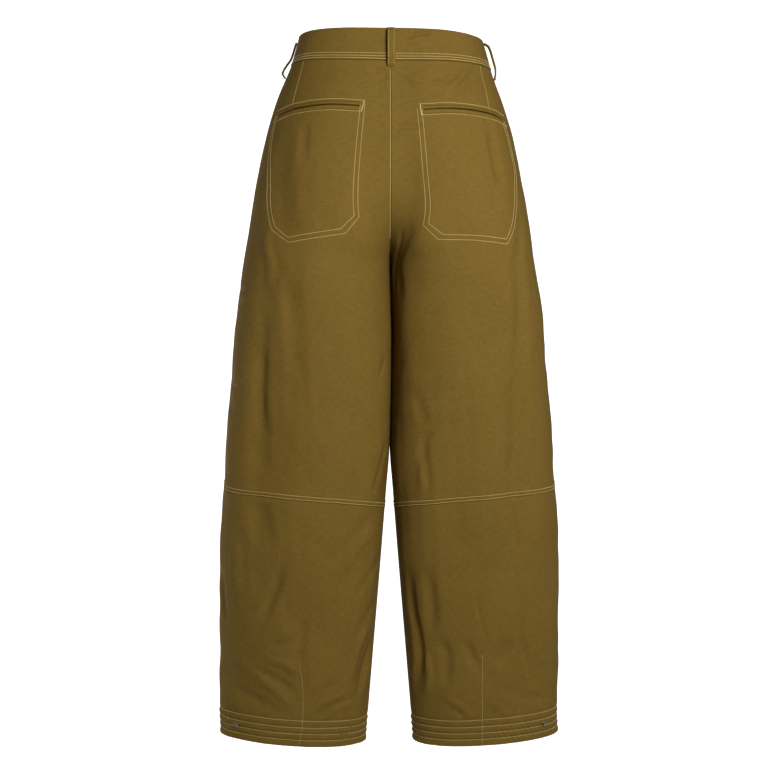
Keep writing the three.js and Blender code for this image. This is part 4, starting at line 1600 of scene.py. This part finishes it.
@dataclass
class BackPocket:
    """The two lips of a back pocket, the bag behind them, and the stitches round them."""

    side: int
    layers: Layers
    hidden: float = 3.2
    half_gap: tuple = ((0.0, 0.5), (0.4, 1.0), (0.75, 1.15), (1.0, 0.8))
    over: float = 0.011
    sections: int = 90
    bag_grid: tuple = (40, 50)
    bag_wall: float = 0.9
    bag_out: float = -4.0
    row_ends: tuple = (0.829, 0.236)
    # Of the bag: down, u at its inner and outer edge, and how much lower the inner edge lies.
    bag: tuple = (
        (108, 0.85, 0.235, 6),
        (134, 0.846, 0.225, 4),
        (160, 0.842, 0.23, 2),
        (190, 0.836, 0.25, 0),
        (220, 0.83, 0.28, -2),
        (250, 0.825, 0.315, 0),
        (275, 0.82, 0.355, 5),
        (287, 0.77, 0.38, 5),
        (298, 0.72, 0.41, 5),
    )

    def lip(self, which: str, way: int, wardrobe: Wardrobe) -> Object:
        """One folded lip, from under the panel's edge to the slot.

        Args:
            which: upper or lower.
            way: -1 above the slot, 1 below it.
            wardrobe: the materials.

        Returns:
            The lip.
        """
        pocket = self.layers.pocket
        low, high = pocket.window
        us = np.linspace(high + self.over, low - self.over, self.sections)
        share = np.linspace(0, 1, self.sections)
        gap = Curve.through(self.half_gap)(share)
        edge = pocket.above if way < 0 else pocket.below
        profile = (
            (edge + self.hidden, -1.75, 0),
            (edge + 0.04, -1.75, 0),
            (edge - 0.12, -1.1, 0),
            (edge - 0.2, -0.35, 0),
            (edge - 0.5, 0.05, 0),
            (edge * 0.72, 0.3, 0),
            (edge * 0.45, 0.4, 0),
            (1.1, 0.3, 1),
            (0.45, 0.0, 1),
            (0.1, -0.6, 1),
            (0.0, -1.3, 1),
            (0.3, -2.2, 1),
            (edge, -2.5, 0),
            (edge + self.hidden, -2.5, 0),
        )
        points, flat = [], []
        for off, out, at_gap in profile:
            v = off + gap * at_gap
            down = pocket.slot_at(self.side, us) + way * v
            points.append(self.layers.surface.place(self.side, us, down, out)[0])
            across = self.layers.surface.length(us, down)
            flat.append(np.stack([us * across, -way * v], -1))
        name = f"pocket_lip_{which}_{SIDE_LABEL[self.side]}_cloth"
        return make_bar(name, points, flat, wardrobe.twill)

    def pocket_bag(self, wardrobe: Wardrobe) -> Object:
        """The bag inside the panel, its lower corners cut off."""
        rows, columns = self.bag_grid
        at, *edges = zip(*self.bag)
        downs = np.linspace(at[0], at[-1], rows)
        inner, outer, slope = (Curve(at, values)(downs) for values in edges)
        share = np.linspace(0, 1, columns)[None]
        u = outer[:, None] + (inner - outer)[:, None] * share
        down = downs[:, None] + slope[:, None] * (1 - share) + self.layers.pocket.DROP[self.side]
        surface = self.layers.surface
        outs = (self.bag_out, self.bag_out - self.bag_wall)
        grids = [surface.place(self.side, u, down, out)[0] for out in outs]
        flat = np.stack([u * surface.length(u, down), -down], -1)
        name = f"pocket_bag_{SIDE_LABEL[self.side]}_cloth"
        return make_shell(name, grids, flat, wardrobe.pocketing)

    def sewing(self) -> list[Sewing]:
        """The rows round the slot, the double outline and the tack at the slot's inner end."""
        pocket, side, label = self.layers.pocket, self.side, SIDE_LABEL[self.side]
        inner, outer = self.row_ends
        us = np.linspace(inner, outer, 40)
        slot = pocket.slot_at(side, us)
        offs = (-pocket.row_above, pocket.row_below)
        rows = [self.layers.row(side, np.stack([us, slot + off], -1)) for off in offs]
        outline = pocket.OUTLINE[side]
        for path in (outline, self.layers.inset(outline, pocket.row_apart)):
            rows.append(self.layers.row(side, path, sharp=True))
        ends = [slot[0] + off for off in offs]
        tack = ((inner + pocket.TACK_LEAN[side], ends[0]), (inner, ends[1]))
        bars = [self.layers.row(side, tack)]
        tight = {"pitch": 0.7, "length": 1.7, "width": 0.75, "height": 0.9}
        return [
            Sewing(f"pocket_stitches_{label}", rows, seed=11 + side),
            Sewing(f"pocket_tack_{label}", bars, across=True, seed=13 + side, **tight),
        ]


@dataclass
class Waistband:
    """The band round the waist, from the left centre front round the back to its lapped tab."""

    layers: Layers
    out: float = 0.75
    wall: float = 2.6
    tab: float = 27.0
    step: float = 3.0
    lap: tuple = (1.86, 1.985)
    rows_above: tuple = (1.8, 5.5, 9.4)
    groove: tuple = (0.4, 0.95)
    edge_rolls: tuple = ((0.0, -1.2), (0.004, -0.45), (0.014, -0.1), (0.04, 0.0))

    HIGH = 45
    FRONT_TURN, MEAN_TURN, LONGEST_TURN = 193, 196, 200  # millimetres for one turn

    def turns(self) -> Array:
        """Places along the band: 2 is the centre front, 0 the centre back and 1 the left side."""
        start, end = 1.9993, -2 - self.tab / self.FRONT_TURN
        return np.linspace(start, end, round((start - end) * self.LONGEST_TURN / self.step))

    def at(
        self, turn: Array, share: Array, out: Array
    ) -> tuple[Array, Array]:
        """Points on the band.

        Args:
            turn: places along it.
            share: shares of its height from the top edge down.
            out: distances outside its face.

        Returns:
            Points in millimetres and unit directions.
        """
        turn, share, out = np.broadcast_arrays(turn, share, out)
        wrapped = np.where(turn < -2, turn + 4, turn)
        u = 1 - np.abs(wrapped)
        lap = (self.wall + SEAM) * smoothstep(-turn, *self.lap)
        found = []
        for side in (LEFT, RIGHT):
            top, bottom = self.layers.edges.top(side, u), self.layers.edges.band(side, u)
            down = top + (bottom - top) * share
            found.append(self.layers.surface.place(side, u, down, out + self.out + lap))
        pick = (wrapped < 0)[..., None]
        return tuple(np.where(pick, right, left) for left, right in zip(*found))

    def sunk(self, share: float) -> float:
        """How far the rows of stitches pull the band's face in at a share of its height."""
        above, (deep, wide) = (1 - share) * self.HIGH, self.groove
        return -deep * sum(math.exp(-(((above - row) / wide) ** 2)) for row in self.rows_above[1:])

    def build(self, wardrobe: Wardrobe) -> Object:
        """Makes the band as one closed strip with soft edges."""
        turns = self.turns()
        rolls = list(self.edge_rolls)
        ends = [(1 - s, o) for s, o in reversed(rolls)]
        shares = [*np.linspace(0.08, 0.72, 22), *np.linspace(0.745, 0.955, 19)]
        outer = rolls + [(s, self.sunk(s)) for s in shares] + ends
        inner_shares = [0.995, 0.97, 0.85, 0.6, 0.4, 0.15, 0.03, 0.005]
        inner = [(s, -self.wall + 0.35 * (s > 0.99 or s < 0.01)) for s in inner_shares]
        profile = outer + inner
        points = [self.at(turns, np.array(s), np.array(o))[0] for s, o in profile]
        long, high = turns * self.MEAN_TURN, self.HIGH
        flat = [np.stack([long, np.full_like(long, -s * high + o)], -1) for s, o in profile]
        return make_bar("waistband_cloth", points, flat, wardrobe.twill)

    def sewing(self) -> list[Sewing]:
        """The three rows above the band's lower edge."""
        turns = np.linspace(1.995, -2 - (self.tab - 2) / self.FRONT_TURN, 800)
        shares = [1 - off / self.HIGH for off in self.rows_above]
        rows = [Row(*self.at(turns, np.array(s), np.array(self.sunk(s) + 0.12))) for s in shares]
        return [Sewing("waistband_stitches", rows, seed=21)]


# How far a loop stands off at shares of its length, in an even arch or mostly at its lower end.
LOOP_SHARES = (0.0, 0.05, 0.12, 0.3, 0.48, 0.64, 0.8, 0.9, 0.96, 1.0)
ARCHED = (0.3, 3.2, 6.0, 7.0, 7.0, 6.9, 6.0, 3.4, 1.1, 0.5)
HANGING = (0.7, 1.1, 1.3, 1.5, 2.3, 4.8, 7.2, 6.8, 3.4, 0.5)


@dataclass
class BeltLoop:
    """A belt loop that stands off the band and is sewn down at both ends."""

    name: str
    side: int
    u: float
    layers: Layers
    start: float = 0.0
    below: float = 9.0
    stand: tuple = ARCHED
    width: float = 10.4
    wall: float = 1.5
    row_in: float = 1.3
    sections: int = 64

    FLAT_LONG = 56

    def at(self, share: Array, across: Array, up: Array) -> tuple:
        """Points on the loop.

        Args:
            share: shares of its length from the top.
            across: millimetres from its middle line.
            up: distances outside its underside.

        Returns:
            Points in millimetres and unit directions.
        """
        edges = self.layers.edges
        u0 = np.array(self.u)
        top = float(edges.top(self.side, u0)) + self.start
        seam = float(edges.band(self.side, u0))
        down = top + (seam + self.below - top) * share
        off = Curve(LOOP_SHARES, self.stand)(share)
        on_band = np.where(down < seam, 0.75, 0.15)
        u = self.u + across / self.layers.surface.length(u0, down)
        return self.layers.across_middle(self.side, u, down, off + on_band + up)

    def build(self, wardrobe: Wardrobe) -> Object:
        """Makes the loop as one closed strip with rounded edges."""
        half, wall = self.width / 2, self.wall
        first = (
            (-half, 0.45),
            (-half + 0.12, wall - 0.3),
            (-half + 0.6, wall),
            (-half + 1.5, wall + 0.02),
            (-half * 0.4, wall - 0.1),
        )
        second = [(-a, up) for a, up in reversed(first)]
        under = [(half - 0.3, 0.0), (0.0, 0.0), (-half + 0.3, 0.0)]
        profile = [*first, (0.0, wall - 0.12), *second, *under]
        share = np.linspace(0, 1, self.sections)
        points = [self.at(share, np.array(a), up * self.thick(share))[0] for a, up in profile]
        long = -share * self.FLAT_LONG
        flat = [np.stack([np.full_like(share, a + up), long], -1) for a, up in profile]
        return make_bar(self.name + "_cloth", points, flat, wardrobe.twill)

    @staticmethod
    def thick(share: Array) -> Array:
        """How many times its usual thickness it has along its length, being turned under."""
        return 1 + 0.5 * smoothstep(share, 0.86, 0.92)

    def rows(self) -> list[Row]:
        """The two rows beside its edges."""
        share = np.linspace(0.02, 0.93, 60)
        place = self.width / 2 - self.row_in
        up = self.wall * self.thick(share) + 0.08
        return [Row(*self.at(share, np.array(across), up)) for across in (-place, place)]


@dataclass
class Fly:
    """The fly's under layer inside the fronts, and its curved double row of stitches outside."""

    layers: Layers
    long: float = 165.0
    wide: float = 40.0
    past: float = 6.0
    below: float = 3.0
    gap: float = 1.0
    wall: float = 1.2
    row_from_centre: float = 34.0
    row_apart: float = 6.0
    row_bend: float = 48.0
    row_beside: float = 1.6

    def shield(self, wardrobe: Wardrobe) -> Object:
        """The under layer, across the centre front from the left to the right."""
        rows, columns = 50, 16
        top = float(self.layers.edges.band(LEFT, np.array(-1.0))) + self.below
        down = np.linspace(top, top + self.long, rows)[:, None] * np.ones((1, columns))
        across = np.linspace(self.past, self.past - self.wide, columns)[None] * np.ones((rows, 1))
        u = -1 + np.abs(across) / self.layers.surface.length(np.array(-1.0), down)
        outside = -WALL - self.gap
        grids = []
        for out in (outside, outside - self.wall):
            halves = [self.layers.surface.place(side, u, down, out)[0] for side in (RIGHT, LEFT)]
            grids.append(np.where((across < 0)[..., None], *halves))
        flat = np.stack([across, -down], -1)
        return make_shell("fly_shield_cloth", grids, flat, wardrobe.twill)

    def sewing(self) -> list[Sewing]:
        """The curved double row on the left front and the edge row along the centre front."""
        top = float(self.layers.edges.band(LEFT, np.array(-1.0))) + 1
        rows = []
        for off in (0.0, self.row_apart):
            far, low = self.row_from_centre - off, self.long + 8 - off
            steps = np.linspace(0, math.pi / 2, 9)
            turn_from = low - self.row_bend
            bend = [(far * math.cos(a), turn_from + self.row_bend * math.sin(a)) for a in steps]
            path = [(far, top + k * (turn_from - top) / 4) for k in range(4)] + bend[:-1]
            path.append((1.5, low))
            one_u = self.layers.surface.length(np.array(-1.0), np.array([d for _, d in path]))
            line = [(-1 + a / s, d) for (a, d), s in zip(path, one_u)]
            rows.append(self.layers.row(LEFT, line))
        stops = ((205, top), (235, 120), (262, 215))  # millimetres for one u, and down
        edge = [(-1 + self.row_beside / one_u, down) for one_u, down in stops]
        rows.append(self.layers.row(LEFT, edge))
        return [Sewing("fly_stitches", rows, seed=31)]


@dataclass
class HemSnap:
    """A dark metal snap on the back hem: a dished cap with a rolled rim."""

    side: int
    u: float = 0.2
    above: float = 20.0
    radius: float = 3.7
    high: float = 1.6
    turns: int = 40

    def build(self, wardrobe: Wardrobe, layers: Layers) -> Object:
        """Makes the cap where the solids have it.

        Args:
            wardrobe: the materials.
            layers: the cloth, for the way it faces.

        Returns:
            The snap.
        """
        u = np.array(self.u)
        down = layers.edges.foot(u) - self.above
        foot, facing = layers.place(self.side, u, down, 0.05)
        r, h = self.radius, self.high
        profile = (
            (0.0, 0.0),
            (r * 0.97, 0.0),
            (r, h * 0.25),
            (r, h * 0.6),
            (r * 0.95, h * 0.88),
            (r * 0.86, h),
            (r * 0.74, h * 0.96),
            (r * 0.66, h * 0.78),
            (r * 0.6, h * 0.6),
            (r * 0.4, h * 0.62),
            (r * 0.32, h * 0.8),
            (r * 0.2, h * 0.9),
            (0.0, h * 0.92),
        )
        name = f"hem_snap_{SIDE_LABEL[self.side]}_cap"
        return lathe(name, profile, self.turns, foot, facing, wardrobe.nickel)


def ways_across(facing: Array) -> tuple[Vector, Vector]:
    """The two directions square to the way that something faces."""
    axis = Vector(facing).normalized()
    first = axis.cross(Vector((0, 0, 1))).normalized()
    return first, axis.cross(first)


def lathe(
    name: str,
    profile: tuple,
    turns: int,
    foot: Array,
    facing: Array,
    material: Material,
) -> Object:
    """A turned solid that stands on the cloth.

    Args:
        name: its name.
        profile: (radius, height) places from the middle of the base to the middle of the top.
        turns: steps round.
        foot: the middle of its base in millimetres.
        facing: the way it stands.
        material: its material.

    Returns:
        The object.
    """
    first, second = ways_across(facing)
    frame_axes = np.array([first, second, Vector(facing).normalized()])
    angle = np.arange(turns) * math.tau / turns
    rings = [
        np.stack([r * np.cos(angle), r * np.sin(angle), np.full(turns, h)], -1)
        for r, h in profile[1:-1]
    ]
    ends = np.array([[0, 0, profile[0][1]], [0, 0, profile[-1][1]]])
    local = np.concatenate([*rings, ends])
    points = local @ frame_axes + foot
    ids, beside = rings_of(len(rings), turns)
    faces = np.stack([ids[:-1], beside[:-1], beside[1:], ids[1:]], -1).reshape(-1, 4).tolist()
    faces += [[ids.size, q, p] for p, q in zip(ids[0].tolist(), beside[0].tolist())]
    faces += [[ids.size + 1, p, q] for p, q in zip(ids[-1].tolist(), beside[-1].tolist())]
    return make_object(name, points, faces, material)


@dataclass
class WaistButton:
    """A four-hole button on the tab, with its crossed thread."""

    radius: float = 7.5
    thick: float = 2.6
    hole: float = 0.95
    pitch: float = 1.75
    turns: int = 56

    def stand(self) -> tuple[Array, Array]:
        """The middle of the solid button in millimetres, and the way it faces."""
        low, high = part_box("waist_button")
        middle = np.array((low + high) / 2) / MM
        facing = np.array([middle[0] / 60, -1.0, 0.02])
        return middle, facing / np.linalg.norm(facing)

    def build(self, wardrobe: Wardrobe) -> Object:
        """Makes the button where the solids have it, with real holes."""
        middle, facing = self.stand()
        foot = middle - facing * self.thick / 2
        r, h = self.radius, self.thick
        profile = (
            (0.0, 0.0),
            (r * 0.8, 0.0),
            (r * 0.97, h * 0.3),
            (r, h * 0.6),
            (r * 0.98, h * 0.85),
            (r * 0.92, h),
            (r * 0.8, h * 0.98),
            (r * 0.68, h * 0.76),
            (r * 0.55, h * 0.7),
            (0.0, h * 0.7),
        )
        button = lathe("waist_button_disc", profile, self.turns, foot, facing, wardrobe.button)
        first, second = ways_across(facing)
        ring = ((0.0, -2.0), (self.hole, -2.0), (self.hole, 6.0), (0.0, 6.0))
        for a, b in ((1, 1), (-1, 1), (-1, -1), (1, -1)):
            place = foot + np.array(first * a * self.pitch + second * b * self.pitch)
            drill = lathe("drill", ring, 20, place, facing, wardrobe.button)
            cut = button.modifiers.new("hole", "BOOLEAN")
            cut.operation, cut.object, cut.solver = "DIFFERENCE", drill, "EXACT"
            button = plain_copy(button, "waist_button_disc")
            bpy.data.objects.remove(drill)
        return button

    def sewing(self) -> list[Sewing]:
        """The crossed thread through the holes."""
        middle, facing = self.stand()
        first, second = ways_across(facing)
        face = middle + facing * (self.thick * 0.22)
        rows, beside = [], self.pitch
        for turn in (1, -1):
            for shift in (-0.3, 0.0, 0.3):
                ends = [
                    face + np.array(first * s * beside + second * (s * turn * beside + shift))
                    for s in (-1, 1)
                ]
                line = np.array([ends[0] + (ends[1] - ends[0]) * t for t in (0, 0.33, 0.67, 1)])
                rows.append(Row(line, np.tile(facing, (4, 1))))
        return [Sewing("waist_button_thread", rows, pitch=1.0, length=1.6, seed=41)]


@dataclass
class Seat:
    """The single row of stitches beside the centre back seam."""

    layers: Layers
    beside: float = 1.1
    stops: tuple = (0.0, 60.0, 110.0, 160.0, 200.0, 235.0, 258.0, 276.0, 292.0)

    def sewing(self) -> list[Sewing]:
        """The row, from under the back belt loop to the crotch."""
        top = float(self.layers.edges.band(LEFT, np.array(1.0))) + 1
        path = []
        for stop in self.stops:
            down = max(top, stop)
            across = float(self.layers.surface.length(np.array(1.0), np.array(down)))
            path.append((1 - self.beside / across, down))
        return [Sewing("seat_stitches", [self.layers.row(LEFT, path[1:])], seed=51)]


# ---- The studio ---------------------------------------------------------------------------------


@dataclass(frozen=True)
class SoftBox:
    """A soft square light aimed at the middle of the trousers, placed in metres from there."""

    name: str
    at: tuple
    size: float
    power: float
    tint: tuple = (1.0, 1.0, 1.0)

    def build(self, aim: Vector) -> None:
        """Adds the light.

        Args:
            aim: the point it faces.
        """
        light = bpy.data.lights.new(self.name, "AREA")
        light.shape, light.size = "SQUARE", self.size
        light.energy, light.color = self.power, self.tint
        obj = link_object(self.name, light)
        obj.location = aim + Vector(self.at)
        obj.rotation_euler = (-Vector(self.at)).to_track_quat("-Z", "Y").to_euler()


@dataclass
class Studio:
    """The camera behind the trousers, a floor that curves up to a backdrop, and soft light."""

    distance: float = 2.6
    height: float = -0.507
    swing: float = math.radians(1.35)
    aim_x: float = -0.0016
    lens: float = 82.65
    floor_gap: float = 0.6
    sky: float = 0.06
    glow: float = 1.0
    lights: tuple = (
        SoftBox("key", (-0.46, 1.36, 0.54), 0.5, 19.6, (1.0, 0.985, 0.965)),
        SoftBox("rim", (2.3, -0.9, -0.2), 1.5, 25.0, (1.0, 0.985, 0.95)),
        SoftBox("far_rim", (-2.3, -0.9, -0.3), 1.5, 9.0, (1.0, 0.985, 0.95)),
    )

    def camera(self) -> None:
        """Places the camera, level with the middle of the trousers and a little to their left."""
        data = bpy.data.cameras.new("camera")
        data.lens, data.sensor_width = self.lens, 36.0
        data.clip_start, data.clip_end = 0.05, 50.0
        camera = link_object("camera", data)
        place = Vector((math.sin(self.swing), math.cos(self.swing), 0)) * self.distance
        place.z = self.height
        camera.location = place
        way = Vector((self.aim_x, 0, self.height)) - place
        camera.rotation_euler = way.to_track_quat("-Z", "Y").to_euler()
        bpy.context.scene.camera = camera

    def backdrop(self) -> None:
        """The floor below the hems, curving up into a backdrop in front of the trousers."""
        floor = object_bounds()[0].z - self.floor_gap
        wide, near, far, bend, tall = 2.0, 0.7, -3.2, 1.2, 3.4
        steps = np.linspace(0, math.pi / 2, 24)
        middle, centre = far + bend, floor + bend
        curve = [(middle - bend * math.sin(a), centre - bend * math.cos(a)) for a in steps]
        line = [(near, floor), (0.0, floor), *curve, (far, floor + tall)]
        points = [(x, y, z) for y, z in line for x in (-wide, wide)]
        faces = [[2 * i, 2 * i + 1, 2 * i + 3, 2 * i + 2] for i in range(len(line) - 1)]
        mesh = bpy.data.meshes.new("floor")
        mesh.from_pydata(points, [], faces)
        mesh.shade_smooth()
        material = bpy.data.materials.new("pale_paper")
        material.use_nodes = True
        shader = material.node_tree.nodes["Principled BSDF"]
        shader.inputs["Base Color"].default_value = (0.93, 0.93, 0.93, 1)
        shader.inputs["Roughness"].default_value = 0.9
        sheet = NodeSheet(material.node_tree, keep=True)
        body = sheet.add("ShaderNodeTexCoord").outputs["Object"]
        away = sheet.add("ShaderNodeSeparateXYZ", {0: body}).outputs["Y"]
        lit = sheet.add("ShaderNodeMapRange", {0: away, 1: -1.1, 2: -2.1, 3: 0.0, 4: self.glow})
        shader.inputs["Emission Color"].default_value = (1, 1, 1, 1)
        material.node_tree.links.new(lit.outputs[0], shader.inputs["Emission Strength"])
        mesh.materials.append(material)
        link_object("floor", mesh)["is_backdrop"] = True

    def light(self) -> None:
        """The soft boxes and an even pale surround."""
        low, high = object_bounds()
        for box in self.lights:
            box.build((low + high) / 2)
        world = bpy.data.worlds.new("surround")
        world.use_nodes = True
        background = world.node_tree.nodes["Background"]
        background.inputs["Color"].default_value = (1, 1, 1, 1)
        background.inputs["Strength"].default_value = self.sky
        bpy.context.scene.world = world
        bpy.context.scene.view_settings.view_transform = "Standard"


# ---- The trousers -------------------------------------------------------------------------------


def finished(piece: Object, slot: str, *nodes: str) -> Object:
    """Says what a piece moves with and stands for.

    Args:
        piece: the finished piece.
        slot: the record's material slot; not used.
        *nodes: the solids that it replaces.

    Returns:
        The piece.
    """
    if nodes:
        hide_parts(*nodes)
    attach(piece, "root")
    log.info("%s: %d triangles", piece.name, sum(len(p.vertices) - 2 for p in piece.data.polygons))
    return piece


def main() -> None:
    """Builds the studio and every piece of the trousers in order."""
    logging.basicConfig(level=logging.INFO, format="%(message)s")
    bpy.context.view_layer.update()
    studio = Studio()
    studio.camera()
    studio.backdrop()
    wardrobe = Wardrobe()
    surface = ClothSurface()
    layers = Layers(surface)
    needle = topstitch_tree()
    sewing: list[Sewing] = []

    for side in (LEFT, RIGHT):
        label = SIDE_LABEL[side]
        leg = Leg(side, layers)
        upper = finished(leg.back_upper(wardrobe), "twill", f"back_upper_{label}")
        lower = finished(leg.back_lower(wardrobe), "twill", f"back_lower_{label}")
        front = finished(leg.front(wardrobe), "twill", f"front_{label}")
        facing = finished(leg.hem_facing(wardrobe), "twill", f"hem_facing_{label}")
        pocket = BackPocket(side, layers)
        for which, way in (("upper", -1), ("lower", 1)):
            lip = pocket.lip(which, way, wardrobe)
            finished(lip, "twill", f"pocket_lip_{which}_{label}")
        bag = finished(pocket.pocket_bag(wardrobe), "pocketing", f"pocket_bag_{label}")
        snap = HemSnap(side).build(wardrobe, layers)
        finished(snap, "snap", f"hem_snap_{label}")
        sewing += leg.sewing() + pocket.sewing()

    band = Waistband(layers)
    strip = finished(band.build(wardrobe), "twill", "waistband")
    sewing += band.sewing()

    loops = (
        BeltLoop("belt_loop_back", LEFT, 1.0, layers),
        BeltLoop("belt_loop_side_left", LEFT, 0.02, layers, 7.0, 17.0, HANGING, wall=2.1),
        BeltLoop("belt_loop_side_right", RIGHT, 0.02, layers, 0.0, 12.0, wall=2.1),
        BeltLoop("belt_loop_front_left", LEFT, -0.74, layers),
        BeltLoop("belt_loop_front_right", RIGHT, -0.74, layers),
    )
    for loop in loops:
        made = finished(loop.build(wardrobe), "twill", loop.name)
    loop_rows = [row for loop in loops for row in loop.rows()]
    sewing.append(Sewing("belt_loop_stitches", loop_rows, seed=61, width=0.55))

    fly = Fly(layers)
    shield = finished(fly.shield(wardrobe), "twill", "fly_shield")
    sewing += fly.sewing() + Seat(layers).sewing()

    button = WaistButton()
    finished(button.build(wardrobe), "button", "waist_button")
    sewing += button.sewing()
    for stitches in sewing:
        finished(stitches.build(needle, wardrobe.thread), "thread")

    studio.light()


if __name__ == "__main__":
    main()
